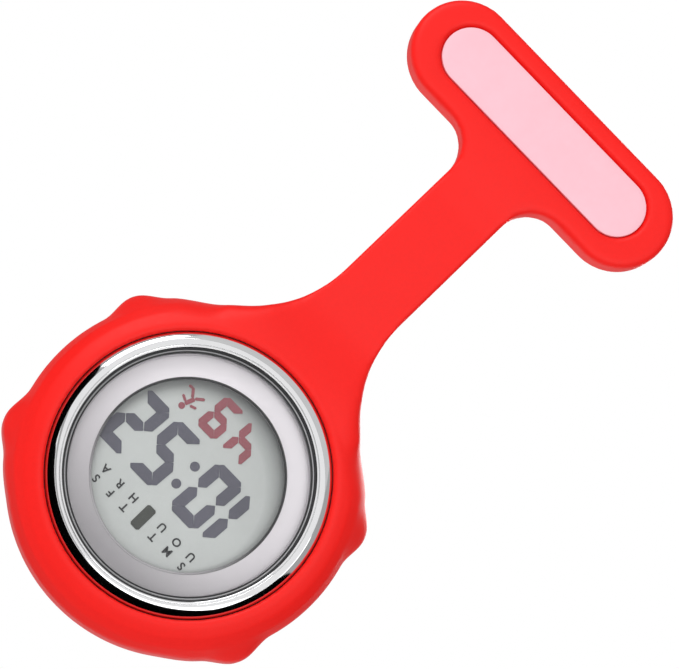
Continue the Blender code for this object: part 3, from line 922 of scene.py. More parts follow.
@dataclass
class SiliconeHolder:
    """The soft holder, one moulding: brooch pad, strap and cup."""

    # pad and label recess
    pad_length: float = 39.4
    pad_height: float = 12.9
    pad_front: float = -8.2
    pad_back: float = -4.2
    pad_edge_radius: float = 0.75
    recess_length: float = 32.1
    recess_height: float = 7.7
    recess_middle: float = 0.25
    recess_floor: float = -7.3
    post_x: float = 6.0

    # strap, from the pad down
    strap_half: float = 4.55
    strap_front: float = -7.5
    strap_back: float = -5.0
    pad_overlap: float = 1.5
    pad_fillet: float = 4.5
    fillet_steps: int = 16
    neck_sink: float = 0.04
    neck_top: float = 0.4
    neck_end: float = -14.0
    straight: ClassVar[tuple[float, ...]] = (-14.0, -18.0, -22.0, -26.0)
    flare_radius: float = 15.7
    flare_lean: float = 56.0
    flare_drop: float = 30.0
    flare_steps: int = 24
    foot_z: float = -42.6
    foot_half: float = 11.3
    ramp_start: float = -33.0
    ramp_end: float = -41.6
    ramp_front: float = -9.0

    # cup and its bumps; depths are below the bezel's top
    cup_radius: float = 20.46
    cup_front: float = 0.30
    cup_back: float = 12.30
    cup_steps: int = 360
    bump_height: float = 1.3
    bump_reach: float = 3.9
    bump_angle: float = 27.5
    shoulder_height: float = 0.42
    shoulder_reach: float = 5.8
    shoulder_lean: float = 10.5
    wall_lines: tuple[float, float] = (4.5, 8.7)
    wall_least: float = 20.0
    wall_spread: float = 0.6

    # what is cut out of the cup
    bezel_hole: float = 16.45
    bore_radius: float = 17.6
    bore_front: float = 1.35
    bore_back: float = 11.15
    back_hole: float = 12.55
    button_depth: float = 6.6
    pocket_radius: float = 2.2
    pocket_start: float = 17.0
    pocket_end: float = 20.3

    # the skin, and where it is smoothed more
    voxel: float = 0.285
    skin_passes: int = 4
    root_passes: int = 50
    root_low: float = -47.0
    root_inner: float = 18.1
    root_rise: float = 0.8
    root_outer: float = 26.5
    root_fall: float = 4.5
    root_across: float = 17.5
    root_side: float = 4.0
    corner_passes: int = 200
    corner_x: float = 11.45
    corner_z: float = 17.0
    corner_core: float = 1.3
    corner_reach: float = 4.2
    corner_lip: float = 17.9
    neck_passes: int = 30
    neck_face: float = -6.6
    neck_depth: float = 0.6
    neck_across: float = 13.5
    neck_side: float = 3.0
    neck_z: float = -7.7
    neck_span: float = 3.0

    def pad(self) -> Piece:
        """The brooch pad with the raised frame round its label.

        Returns:
            The pad.
        """
        pad = Piece.stadium("pad", self.pad_length, self.pad_height, self.pad_front, self.pad_back)
        pad.soften(self.pad_edge_radius, 5)
        recess = Piece.stadium("recess", self.recess_length, self.recess_height, self.pad_front - 1,
                               self.recess_floor, self.recess_middle)
        return pad.cut(recess)

    def outline(self) -> list[tuple[float, float, float]]:
        """The strap's stations from the pad down into the cup.

        Returns:
            Height, half width and front of each station.
        """
        pad_edge = -self.pad_height / 2
        fillet_x = self.strap_half + self.pad_fillet
        stations = [(pad_edge + self.pad_overlap, fillet_x)]
        for step in range(self.fillet_steps + 1):
            angle = radians(90 * step / self.fillet_steps)
            stations.append((pad_edge - self.pad_fillet * (1 - cos(angle)),
                             fillet_x - self.pad_fillet * sin(angle)))
        stations += [(z, self.strap_half) for z in self.straight]
        flare_x = self.strap_half + self.flare_radius
        flare_z = HEAD[2] + self.flare_drop
        for step in range(self.flare_steps + 1):
            angle = radians(self.flare_lean * step / self.flare_steps)
            stations.append((flare_z - self.flare_radius * sin(angle),
                             flare_x - self.flare_radius * cos(angle)))
        stations.append((self.foot_z, self.foot_half))
        neck_front = self.pad_front + self.neck_sink
        placed = []
        for z, half in stations:
            front = self.strap_front
            front += (self.ramp_front - self.strap_front) * eased(z, self.ramp_start, self.ramp_end)
            front += (neck_front - self.strap_front) * eased(z, self.neck_end, pad_edge + self.neck_top)
            placed.append((z, half, front))
        return placed

    def strap(self) -> Piece:
        """The strap, drawn out of the pad station by station.

        Returns:
            The strap.
        """
        stations = self.outline()
        z, half, front = stations[0]
        strap = Piece.block("strap", (-half, front, z), (half, self.strap_back, z + 0.5))
        with strap.editing():
            strap.pick(Element.FACE, lambda at, way: way.z < -0.9)
            for next_z, next_half, next_front in stations[1:]:
                down = metres((0, 0, next_z - z))
                bpy.ops.mesh.extrude_region_move(TRANSFORM_OT_translate={"value": down})
                deep = (self.strap_back - next_front) / (self.strap_back - front)
                bpy.ops.transform.resize(value=(next_half / half, deep, 1),
                                         center_override=metres((0, self.strap_back, next_z)))
                z, half, front = next_z, next_half, next_front
            strap.close_up()
        return strap

    def cup(self) -> Piece:
        """The solid cup with its four button bumps drawn out of its wall.

        Returns:
            The cup.
        """
        edge, front, back = self.cup_radius, self.cup_front, self.cup_back
        wall = [(0, front), (16.9, front), (17.30, front), (18.60, 0.75), (19.65, 1.70), (20.25, 3.20),
                (edge, 4.1), (edge, 5.00), (edge, 6.6), (edge, 8.20), (edge, 9.1), (20.25, 10.20),
                (19.65, 11.60), (18.60, back), (0, back)]
        cup = Piece.turned("cup", wall, steps=self.cup_steps)
        bump = (self.bump_angle, self.bump_height, self.bump_reach)
        shoulder = (self.bump_angle + self.shoulder_lean, self.shoulder_height, self.shoulder_reach)
        for side_x in (1, -1):
            for side_z in (1, -1):
                for lean, height, reach in (bump, shoulder):
                    angle = radians(lean)
                    way = Vector((side_x * cos(angle), 0, side_z * sin(angle)))
                    cup.push(Element.VERT, self.near_wall(way), tuple(way * height), reach)
        return cup

    def near_wall(self, way: Vector) -> Test:
        """A test for the line of the cup's wall that faces a direction.

        Args:
            way: the direction from the watch's axis.

        Returns:
            The test.
        """
        def test(at: Vector, normal: Vector) -> bool:
            """Whether a vertex is on the line.

            Args:
                at: its place.
                normal: its normal, which isn't asked about.

            Returns:
                True on the line.
            """
            front, back = self.wall_lines
            flat = Vector((at.x, 0, at.z - HEAD[2]))
            on_wall = front < at.y - HEAD[1] < back and flat.length > self.wall_least
            return on_wall and flat.normalized().dot(way) > cos(radians(self.wall_spread))
        return test

    def cavity(self) -> list[Piece]:
        """What is cut out of the cup: the bore for the watch and four button pockets.

        Returns:
            The cutters.
        """
        before, behind = -1.0, 13.5
        profile = [(0, before), (self.bezel_hole, before), (self.bezel_hole, self.bore_front),
                   (self.bore_radius, self.bore_front), (self.bore_radius, self.bore_back),
                   (self.back_hole, self.bore_back), (self.back_hole, behind), (0, behind)]
        bore = Piece.turned("bore", profile)
        y = HEAD[1] + self.button_depth
        pocket = Piece.rod("pocket", self.pocket_radius, (self.pocket_start, y, HEAD[2]),
                           (self.pocket_end, y, HEAD[2]))
        lean = self.bump_angle
        pockets = [pocket.copy("pocket").turn(angle, "Y", HEAD)
                   for angle in (lean, 180 - lean, 180 + lean, -lean)]
        pocket.scrap()
        return [bore, *pockets]

    def posts(self) -> list[Piece]:
        """The two mushroom posts that hold the pin bar.

        Returns:
            The posts.
        """
        profile = [(0, -5.5), (1.0, -5.5), (1.0, -3.45), (1.7, -3.45), (1.7, -3.1), (1.35, -2.8),
                   (0, -2.75)]
        post = Piece.turned("post", profile, (-self.post_x, 0, 0), steps=SMALL)
        return [post, post.copy("post").shift((2 * self.post_x, 0, 0))]

    def relax(self, skin: Piece, repeat: int, weigh: Callable[[Vector], float]) -> None:
        """Smooths the skin more where a weight says so.

        Args:
            skin: the skin.
            repeat: how many times it is smoothed.
            weigh: takes a vertex's place and gives a weight from 0 to 1.
        """
        group = skin.shape.vertex_groups.new(name="relaxed")
        for vertex in skin.shape.data.vertices:
            weight = weigh(vertex.co / MM)
            if weight > 0:
                group.add([vertex.index], weight, "REPLACE")
        skin.modify("SMOOTH", factor=0.5, iterations=repeat, vertex_group=group.name)
        skin.shape.vertex_groups.clear()

    def build(self) -> None:
        """Moulds the holder in one skin and dresses it."""
        skin = self.cup()
        skin.unite(self.strap(), self.pad())
        skin.cut(*self.cavity())
        skin.unite(*self.posts())
        skin.modify("REMESH", mode="VOXEL", voxel_size=self.voxel * MM, adaptivity=0.0)
        skin.modify("SMOOTH", factor=0.5, iterations=self.skin_passes)
        self.relax(skin, self.root_passes, self.root_weight)
        self.relax(skin, self.corner_passes, self.corner_weight)
        self.relax(skin, self.neck_passes, self.neck_weight)
        skin.take()
        bpy.ops.object.shade_smooth()
        skin.shape.name = "silicone_holder"
        skin.dress(Look.SILICONE, "silicone")
        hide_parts("silicone_brooch_pad", "silicone_watch_pouch")
        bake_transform(skin.shape)

    def root_weight(self, at: Vector) -> float:
        """How much a point belongs to where the strap runs into the cup.

        Args:
            at: the point.

        Returns:
            The weight, from 0 to 1.
        """
        reach = hypot(at.x, at.z - HEAD[2])
        if at.z < self.root_low or reach < self.root_inner:
            return 0.0
        inner = (reach - self.root_inner) / self.root_rise
        outer = max(0.0, (self.root_outer - reach) / self.root_fall)
        across = max(0.0, (self.root_across - abs(at.x)) / self.root_side)
        return min(1.0, inner, outer, across)

    def corner_weight(self, at: Vector) -> float:
        """How much a point belongs to the two corners between strap and cup.

        Args:
            at: the point.

        Returns:
            The weight, from 0 to 1.
        """
        away = hypot(abs(at.x) - self.corner_x, at.z - HEAD[2] - self.corner_z)
        lip = clamped(hypot(at.x, at.z - HEAD[2]) - self.corner_lip)
        return lip * clamped(self.corner_core - away / self.corner_reach)

    def neck_weight(self, at: Vector) -> float:
        """How much a point belongs to the face where the strap runs into the pad.

        Args:
            at: the point.

        Returns:
            The weight, from 0 to 1.
        """
        front = clamped((self.neck_face - at.y) / self.neck_depth)
        across = clamped((self.neck_across - abs(at.x)) / self.neck_side)
        return front * across * max(0.0, 1 - abs(at.z - self.neck_z) / self.neck_span)


@dataclass
class LabelInsert:
    """The blank card that sits in the pad's frame."""

    length: float = 31.7
    height: float = 7.3
    front: float = -7.95
    back: float = -7.35
    middle: float = 0.25
    crown: float = 0.09
    crown_shares: ClassVar[tuple[float, ...]] = (0.5, 0.33, 0.17)
    crown_inset: float = 0.75
    edge_radius: float = 0.12

    def build(self) -> None:
        """Makes the insert with a slightly crowned face."""
        card = Piece.stadium("label_card", self.length, self.height, self.front, self.back, self.middle)
        card.soften(self.edge_radius, 3)
        with card.editing():
            card.pick(Element.FACE, lambda at, way: way.y < -0.99 and at.y < self.front + 0.01)
            for share in self.crown_shares:
                bpy.ops.mesh.inset(thickness=self.crown_inset * MM)
                bpy.ops.transform.translate(value=metres((0, -self.crown * share, 0)))
            card.close_up()
        card.smooth(20)
        card.dress(Look.LABEL, "label").mount("brooch", "label_insert")


# ---------------------------------------------------------------- brooch pin

@dataclass
class BroochPin:
    """Pin bar, rivet, needle, catch and safety sleeve on the back of the pad."""

    bar_length: float = 33.5
    bar_height: float = 5.2
    bar_front: float = -4.15
    bar_back: float = -3.55
    post_x: float = 6.0
    hinge_x: float = 14.5
    ear_low: float = 0.7
    ear_high: float = 1.2
    ear_radius: float = 1.15
    ear_foot: float = 1.7
    post_hole: float = 1.1
    rivet_hole: float = 0.47
    rivet_reach: float = 1.25
    rivet_head: float = 0.3
    needle_radius: float = 0.45
    tip_x: float = -17.3
    catch_x: float = -13.5
    catch_half: float = 2.4
    core_half: float = 1.5
    sleeve_half: float = 1.4
    slot_width: float = 1.3
    slot_reach: float = 4.8
    slot_depth: float = 3.2
    foot_half: float = 1.2
    lug_half: float = 0.6
    lug_low: float = 1.6
    lug_high: float = 3.0
    lug_thickness: float = 0.3
    lug_turn: float = 45.0
    edge_radius: float = 0.06

    def build(self) -> None:
        """Makes the five pieces of the pin."""
        self.bar()
        self.rivet()
        self.needle()
        self.catch()
        self.sleeve()

    def ears(self) -> list[Piece]:
        """The two ears of the bar, with round tops.

        Returns:
            The ears.
        """
        x, low, high = self.hinge_x, self.ear_low, self.ear_high
        foot = self.ear_foot
        ear = Piece.block("ear", (x - foot, self.bar_back - 0.3, low), (x + foot, 0, high))
        ear.taper(lambda at, way: way.y > 0.9, (self.ear_radius / foot, 1, 1), (x, 0, low))
        ear.unite(Piece.rod("ear_top", self.ear_radius, (x, 0, low), (x, 0, high)))
        return [ear, ear.copy("ear").shift((0, 0, -low - high))]

    def bar(self) -> None:
        """The stamped bar with its two ears."""
        bar = Piece.stadium("brooch_bar", self.bar_length, self.bar_height, self.bar_front,
                            self.bar_back)
        hole = Piece.rod("post_hole", self.post_hole, (-self.post_x, self.bar_front - 1, 0),
                         (-self.post_x, self.bar_back + 1, 0))
        bar.cut(hole.copy("post_hole").shift((2 * self.post_x, 0, 0)), hole)
        bar.unite(*self.ears())
        bar.cut(Piece.rod("rivet_hole", self.rivet_hole, (self.hinge_x, 0, -3), (self.hinge_x, 0, 3)))
        bar.soften(self.edge_radius, 2).smooth()
        bar.dress(Look.NICKEL, "nickel").mount("brooch", "pin_bar")

    def rivet(self) -> None:
        """The rivet with a domed head at each end."""
        reach, head = self.rivet_reach, self.rivet_head
        profile = [(0, -reach - head), (0.35, -reach - head + 0.03), (0.6, -reach - 0.18),
                   (0.75, -reach), (0.4, -reach), (0.4, reach), (0.75, reach), (0.6, reach + 0.18),
                   (0.35, reach + head - 0.03), (0, reach + head)]
        rivet = Piece.turned("brooch_rivet", profile, (self.hinge_x, 0, 0), Axis.Z, SMALL)
        rivet.smooth(40)
        rivet.dress(Look.NICKEL, "nickel").mount("brooch", "hinge_rivet")

    def needle(self) -> None:
        """The needle: a rolled eye, a drawn shaft and a ground point."""
        hinge, bore = (self.hinge_x, 0, 0), self.rivet_hole
        rolled = [(bore, -0.6), (1.0, -0.6), (1.1, -0.5), (1.1, 0.5), (1.0, 0.6), (bore, 0.6),
                  (bore, -0.6)]
        eye = Piece.turned("brooch_needle", rolled, hinge, Axis.Z, SMALL)
        tip, radius = self.tip_x - self.hinge_x, self.needle_radius
        profile = [(0, tip), (0.05, tip + 0.04), (0.12, tip + 0.3), (0.30, tip + 1.4), (0.41, tip + 2.4),
                   (radius, tip + 3.2), (radius, -0.75), (0, -0.75)]
        shaft = Piece.turned("shaft", profile, hinge, Axis.X, 32)
        eye.unite(shaft).soften(0.04, 2, 45).smooth(40)
        eye.dress(Look.NEEDLE, "needle_steel").mount("needle", "pin_needle")

    def slot(self) -> Piece:
        """The cutter for the slot that the needle drops into.

        Returns:
            The cutter.
        """
        reach, half = self.slot_reach, self.slot_width / 2
        return Piece.block("slot", (self.catch_x - reach, 0, -half),
                           (self.catch_x + reach, self.slot_depth, half))

    def catch(self) -> None:
        """The slotted tube with two cheeks, and its feet on the bar."""
        half, core = self.catch_half, self.core_half
        profile = [(0.8, -half), (1.9, -half), (1.9, -core), (1.25, -core), (1.25, core), (1.9, core),
                   (1.9, half), (0.8, half), (0.8, -half)]
        catch = Piece.turned("brooch_catch", profile, (self.catch_x, 0, 0), Axis.X, SMALL)
        foot = Piece.block("foot", (self.catch_x - half, self.bar_back + 0.05, -self.foot_half),
                           (self.catch_x - core, -self.foot_half, self.foot_half))
        catch.unite(foot.copy("foot").shift((half + core, 0, 0)), foot)
        catch.cut(self.slot()).soften(self.edge_radius, 2).smooth()
        catch.dress(Look.NICKEL, "nickel").mount("brooch", "catch_housing")

    def sleeve(self) -> None:
        """The slotted sleeve that turns over the catch, with its thumb lug."""
        half = self.sleeve_half
        profile = [(1.35, -half), (1.85, -half), (1.85, half), (1.35, half), (1.35, -half)]
        sleeve = Piece.turned("catch_sleeve", profile, (self.catch_x, 0, 0), Axis.X, SMALL)
        low = (self.catch_x - self.lug_half, self.lug_low, -self.lug_thickness)
        high = (self.catch_x + self.lug_half, self.lug_high, self.lug_thickness)
        lug = Piece.block("lug", low, high)
        lug.round_edges(lambda at, way: abs(way.x) > 0.9 and at.y > 2.5, 0.2, 4)
        sleeve.unite(lug.turn(self.lug_turn, "X", (self.catch_x, 0, 0)))
        sleeve.cut(self.slot()).soften(self.edge_radius, 2).smooth()
        sleeve.dress(Look.NICKEL, "nickel").mount("sleeve", "safety_sleeve")


# ---------------------------------------------------------------- watch head

@dataclass
class WatchCase:
    """What shows of the case: bezel, crystal, gasket, display ring and case back.

    A profile gives radius from the watch's axis and depth below the bezel's top.
    """

    bezel_radius: float = 16.40
    bezel_seat: float = 15.20
    bezel_bore: float = 14.30
    bezel_back: float = 2.00
    bezel_steps: int = 256
    skirt_depth: float = 1.40
    crystal_radius: float = 14.00
    crystal_back: float = 1.70
    gasket_inner: float = 14.04
    gasket_outer: float = 14.24
    gasket_back: float = 1.80
    window_radius: float = 11.10
    ring_face: float = 1.90
    ring_back: float = 2.75
    back_face: float = 12.02
    back_bead: float = 12.15
    back_inside: float = 11.55
    flange_radius: float = 16.30
    flange_back: float = 10.95
    flange_front: float = 10.45
    notch_half: float = 1.4

    def build(self) -> None:
        """Makes the turned pieces of the case."""
        self.bezel()
        self.crystal()
        self.gasket()
        self.display_ring()
        self.window_painted_shadow()
        self.case_back()

    def bezel(self) -> None:
        """The chrome bezel with a rounded shoulder and a fine groove, and two black rings inside it that
        paint the shadow of the gaps there.
        """
        edge, seat, bore = self.bezel_radius, self.bezel_seat, self.bezel_bore
        profile = [(edge, self.skirt_depth), (edge, 0.95), (16.33, 0.72), (16.17, 0.50), (15.93, 0.29),
                   (15.65, 0.13), (15.32, 0.03), (15.06, 0.00), (14.80, 0.01), (14.77, 0.07),
                   (14.72, 0.07), (14.69, 0.01), (14.52, 0.02), (14.45, 0.06), (14.43, 0.45),
                   (bore, 0.45), (bore, self.bezel_back), (seat, self.bezel_back),
                   (seat, self.skirt_depth), (edge, self.skirt_depth)]
        bezel = Piece.turned("chrome_bezel", profile, steps=self.bezel_steps)
        bezel.soften(0.02, 2, 25).smooth(50)
        bezel.dress(Look.CHROME, "chrome").mount("watch", "bezel")
        # painted shadow: two black rings where the gaps inside the bezel fall dark
        self.painted_shadow_ring("bezel_inner_gap_shadow", inner=14.26, outer=14.42, front=0.12)
        self.painted_shadow_ring("crystal_edge_gap_shadow", inner=13.86, outer=14.02, front=0.38)

    def painted_shadow_ring(self, name: str, inner: float, outer: float, front: float) -> None:
        """A black line round the crystal, a thin ring with a crowned face, put where a gap falls dark:
        painted shadow.

        Args:
            name: its name.
            inner: its inner radius.
            outer: its outer radius.
            front: how deep its face lies below the bezel's top.
        """
        edge, deep = front + 0.03, front + 0.3
        profile = [(inner, edge), ((inner + outer) / 2, front), (outer, edge), (outer, deep),
                   (inner, deep), (inner, edge)]
        ring = Piece.turned(name, profile)
        ring.smooth(50)
        ring.dress(Look.GASKET, "black_rubber").mount("watch")

    def crystal(self) -> None:
        """The crystal, very slightly domed, with a ground edge."""
        edge, back = self.crystal_radius, self.crystal_back
        profile = [(0, 0.30), (5.0, 0.315), (9.0, 0.345), (12.0, 0.39), (13.6, 0.42), (13.85, 0.5),
                   (edge, 0.66), (edge, back), (0, back)]
        crystal = Piece.turned("watch_crystal", profile)
        crystal.smooth(20)
        crystal.dress(Look.CRYSTAL, "glass").mount("watch", "crystal")

    def gasket(self) -> None:
        """The thin pale nylon ring between crystal and bezel."""
        inner, outer, back = self.gasket_inner, self.gasket_outer, self.gasket_back
        profile = [(inner, 0.50), (14.08, 0.42), (14.14, 0.40), (14.20, 0.42), (outer, 0.50),
                   (outer, back), (inner, back), (inner, 0.50)]
        gasket = Piece.turned("bezel_gasket", profile)
        gasket.smooth(50)
        gasket.dress(Look.NYLON, "nylon").mount("watch", "crystal_gasket")

    def display_ring(self) -> None:
        """The silver ring round the display, with a fine groove and a chamfered window."""
        inner, outer = self.window_radius, self.crystal_radius
        face, back = self.ring_face, self.ring_back
        profile = [(inner, 2.35), (11.12, 2.12), (11.24, 1.95), (11.36, face), (13.75, face),
                   (13.80, 1.96), (13.86, 1.96), (13.90, face), (outer, 1.92), (outer, back),
                   (inner, back), (inner, 2.35)]
        ring = Piece.turned("display_surround", profile)
        ring.smooth(30)
        ring.dress(Look.RING, "silver_ring").mount("watch", "display_ring")

    def window_painted_shadow(self) -> None:
        """A fine dark ring round the window of the display ring: painted shadow, dark on the strap side
        above and fading to the ring's own colour below.
        """
        profile = [(11.06, 2.34), (11.02, 2.06), (self.window_radius, 1.89), (11.20, 1.85),
                   (11.30, 1.88), (11.32, 1.94), (11.16, 2.14), (11.06, 2.34)]
        painted_shadow_ring = Piece.turned("window_painted_shadow", profile)
        painted_shadow_ring.smooth(50)
        painted_shadow_ring.dress(Look.WINDOW_LINE, "silver_ring").mount("watch")

    def case_back(self) -> None:
        """The snap-on back: a dished face with two turned rings and a lip to prise it off by."""
        face, bead, inside = self.back_face, self.back_bead, self.back_inside
        edge, behind, before = self.flange_radius, self.flange_back, self.flange_front
        profile = [(0, face), (8.6, face), (8.75, 12.09), (9.9, bead), (10.05, 12.05), (10.25, 12.05),
                   (10.40, bead), (11.60, bead), (11.95, face), (12.20, 11.60), (12.30, behind),
                   (edge, behind), (edge, before), (11.80, before), (11.30, inside), (0, inside)]
        back = Piece.turned("steel_case_back", profile)
        half = self.notch_half
        notch = Piece.block("notch", (-half, HEAD[1] + 11.75, HEAD[2] - 12.6),
                            (half, HEAD[1] + 12.4, HEAD[2] - 11.2))
        back.cut(notch).soften(0.03, 2, 25).smooth(35)
        back.dress(Look.STEEL, "steel").mount("watch", "case_back")


@dataclass
class Digit:
    """A seven-segment digit, in millimetres from the display's middle, as it is read.

    Attributes:
        left: its left edge.
        right: its right edge.
        low: its foot.
        high: its top.
        bar: the width of its segments.
        lit: the letters of the segments that show, from a to g.
    """

    left: float
    right: float
    low: float
    high: float
    bar: float
    lit: str


@dataclass
class Display:
    """The liquid crystal display. It is upright for the wearer, so upside down as the watch hangs."""

    half_flats: float = 11.6
    ground_front: float = 2.85
    ground_back: float = 3.05
    ink_front: float = 2.79
    ink_back: float = 2.87
    slant: float = 3.7
    gap_share: float = 0.11
    tip_share: float = 0.47
    inner_share: float = 0.70
    outer_share: float = 0.24
    marker_place: tuple[float, float] = (0.15, 6.95)
    marker_length: float = 3.1
    marker_width: float = 1.3
    marker_cut: float = 0.22
    letter_rows: tuple[float, float] = (7.25, 5.75)
    letter_size: float = 1.34
    letter_swell: float = 0.03
    letter_half: float = 0.04
    limb_cut: float = 0.12
    dot_steps: int = 24
    marked_day: str = "WE"
    time: list[Digit] = field(default_factory=lambda: [
        Digit(-9.3, -6.0, -3.9, 4.05, 1.4, "bc"), Digit(-5.3, -1.0, -3.9, 4.05, 1.4, "abcdef"),
        Digit(1.5, 5.8, -3.9, 4.05, 1.4, "acdfg"), Digit(6.5, 10.8, -3.9, 4.05, 1.4, "abdeg")])
    seconds: list[Digit] = field(default_factory=lambda: [
        Digit(-3.4, -0.35, -9.8, -4.9, 0.95, "bcfg"), Digit(0.65, 3.7, -9.8, -4.9, 0.95, "abcdfg")])
    weekdays: ClassVar[list[tuple[float, str]]] = [
        (-6.85, "SU"), (-4.54, "MO"), (-2.17, "TU"), (0.15, "WE"), (2.49, "TH"), (4.71, "FR"),
        (7.05, "SA")]

    def build(self) -> None:
        """Makes the ground and everything drawn on it."""
        self.ground()
        self.digits("time_digits", self.time, Look.DIGITS, self.colon())
        self.digits("seconds_digits", self.seconds, Look.SECONDS, self.runner())
        self.letters()
        self.marker()

    def ground(self) -> None:
        """The octagonal front of the display."""
        y = HEAD[1]
        low = (-self.half_flats, y + self.ground_front, HEAD[2] - self.half_flats)
        high = (self.half_flats, y + self.ground_back, HEAD[2] + self.half_flats)
        ground = Piece.block("display_ground_plate", low, high)
        corner = self.half_flats * (2 - sqrt(2))
        ground.round_edges(lambda at, way: abs(way.y) > 0.9, corner, 1)
        ground.soften(0.03, 2).smooth()
        ground.dress(Look.DISPLAY, "lcd_film").mount("watch", "lcd_front_filter")

    def bar(self, name: str, x: float, y: float, length: float, width: float, turn: float,
            cuts: tuple[float, float, float, float]) -> Piece:
        """A flat bar of ink.

        Args:
            name: its name.
            x: its middle across, as it is read.
            y: its middle upwards, as it is read.
            length: its length.
            width: its width.
            turn: degrees anticlockwise from across, as it is read.
            cuts: how far its corners are cut: end above, end below, start above, start below.

        Returns:
            The bar.
        """
        front, back = HEAD[1] + self.ink_front, HEAD[1] + self.ink_back
        z = HEAD[2] + y
        low = (x - length / 2, front, z - width / 2)
        bar = Piece.block(name, low, (x + length / 2, back, z + width / 2))
        for cut in sorted(set(cuts)):
            end_above, end_below, start_above, start_below = (cut == other for other in cuts)

            def test(at: Vector, way: Vector) -> bool:
                """Whether an edge is a corner with this cut.

                Args:
                    at: the edge's middle.
                    way: its direction.

                Returns:
                    True at such a corner.
                """
                if abs(way.y) < 0.9:
                    return False
                above = end_above if at.x > x else start_above
                below = end_below if at.x > x else start_below
                return above if at.z > z else below
            bar.round_edges(test, cut, 1)
        return bar.turn(-turn, "Y", (x, 0, z))

    def segments(self, digit: Digit) -> list[Piece]:
        """The lit segments of a digit, long on their outer side and mitred at the corners.

        Args:
            digit: the digit.

        Returns:
            One flat bar for each lit segment.
        """
        middle_x, middle_y = (digit.left + digit.right) / 2, (digit.low + digit.high) / 2
        half_x = (digit.right - digit.left - digit.bar) / 2
        half_y = (digit.high - digit.low - digit.bar) / 2
        tip = digit.bar * self.tip_share
        inner, outer = digit.bar * self.inner_share, digit.bar * self.outer_share
        gap = digit.bar * self.gap_share
        across = 2 * half_x + digit.bar / 2 - gap
        upright = half_y + digit.bar / 4 - gap
        reach = digit.bar / 8
        places = {"a": (0, half_y, 0, across, (outer, inner, outer, inner)),
                  "g": (0, 0, 0, 2 * half_x - gap, (tip, tip, tip, tip)),
                  "d": (0, -half_y, 0, across, (inner, outer, inner, outer)),
                  "b": (half_x, half_y / 2 + reach, 90, upright, (inner, outer, tip, tip)),
                  "c": (half_x, -half_y / 2 - reach, 90, upright, (tip, tip, inner, outer)),
                  "e": (-half_x, -half_y / 2 - reach, 90, upright, (tip, tip, outer, inner)),
                  "f": (-half_x, half_y / 2 + reach, 90, upright, (outer, inner, tip, tip))}
        bars = []
        for mark in digit.lit:
            x, y, turn, length, cuts = places[mark]
            lean = y * sin(radians(self.slant))
            tilt = turn - self.slant if turn else 0
            bars.append(self.bar("segment", middle_x + x + lean, middle_y + y, length, digit.bar, tilt,
                                 cuts))
        return bars

    def digits(self, name: str, digits: list[Digit], look: Look, extra: list[Piece]) -> None:
        """A row of digits as one piece.

        Args:
            name: the piece's name.
            digits: the digits.
            look: the finish.
            extra: other marks of the same colour.
        """
        bars = [bar for digit in digits for bar in self.segments(digit)] + extra
        row = bars[0].gather(*bars[1:])
        row.shape.name = name
        self.lay(row, look)

    def lay(self, ink: Piece, look: Look) -> None:
        """Turns ink the wearer's way up, dresses it and fixes it to the watch.

        Args:
            ink: the piece, as it is read.
            look: the finish.
        """
        ink.turn(180, "Y", HEAD)
        ink.dress(look, "lcd_film").mount("watch")

    def disc(self, x: float, y: float, radius: float) -> Piece:
        """A round dot of ink.

        Args:
            x: its middle across, as it is read.
            y: its middle upwards, as it is read.
            radius: its radius.

        Returns:
            The dot.
        """
        z = HEAD[2] + y
        front = (x, HEAD[1] + self.ink_front, z)
        dot = Piece.rod("dot", radius, front, (x, HEAD[1] + self.ink_back, z), self.dot_steps)
        dot.taper(lambda at, way: way.y < -0.9, (0.97, 1, 0.97), front)
        return dot

    def colon(self) -> list[Piece]:
        """The two dots between hours and minutes."""
        dot = self.disc(0.3, 1.54, 0.58)
        return [dot, dot.copy("dot").shift((-0.08, 0, -2.89))]

    def runner(self) -> list[Piece]:
        """The sign for the stopwatch: a little running figure of bars and a dot.

        Returns:
            Its limbs and its head.
        """
        limbs = [(6.0, -6.15, 1.25, 0.52, 70), (5.25, -5.95, 0.85, 0.32, 20),
                 (6.75, -6.0, 0.85, 0.32, -25), (6.45, -7.1, 1.2, 0.36, -50),
                 (5.35, -7.15, 1.15, 0.36, 40), (7.1, -7.45, 0.6, 0.32, 10)]
        figure = [self.bar("limb", *limb, (self.limb_cut,) * 4) for limb in limbs]
        return figure + [self.disc(6.3, -5.15, 0.4)]

    def marker(self) -> None:
        """The rounded bar under the current weekday."""
        marker = self.bar("weekday_marker", *self.marker_place, self.marker_length, self.marker_width,
                          90, (self.marker_cut,) * 4)
        self.lay(marker, Look.MARKER)

    def letters(self) -> None:
        """The weekday initials, two letters above each other, with none at the marked day."""
        glyphs = []
        for x, pair in self.weekdays:
            if pair == self.marked_day:
                continue
            for letter, y in zip(pair, self.letter_rows):
                glyphs.append(self.glyph(letter, x, y))
        sheet = glyphs[0].gather(*glyphs[1:])
        sheet.shape.name = "weekday_letters"
        self.lay(sheet, Look.LETTERS)

    def glyph(self, letter: str, x: float, y: float) -> Piece:
        """One raised letter.

        Args:
            letter: the letter.
            x: its middle across, as it is read.
            y: its foot, as it is read.

        Returns:
            The letter.
        """
        clear_selection()
        bpy.ops.object.text_add(location=(0, 0, 0))
        text = bpy.context.object
        text.data.body = letter
        text.data.size = self.letter_size * MM
        text.data.align_x = "CENTER"
        text.data.offset = self.letter_swell * MM
        text.data.extrude = self.letter_half * MM
        text.data.resolution_u = 4
        bpy.ops.object.convert(target="MESH")
        text = bpy.context.object
        text.rotation_euler = (pi / 2, 0, 0)
        text.location = metres((x, HEAD[1] + self.ink_front + self.letter_half, HEAD[2] + y))
        glyph = Piece("glyph", text)
        with glyph.editing():
            glyph.close_up()
        return glyph


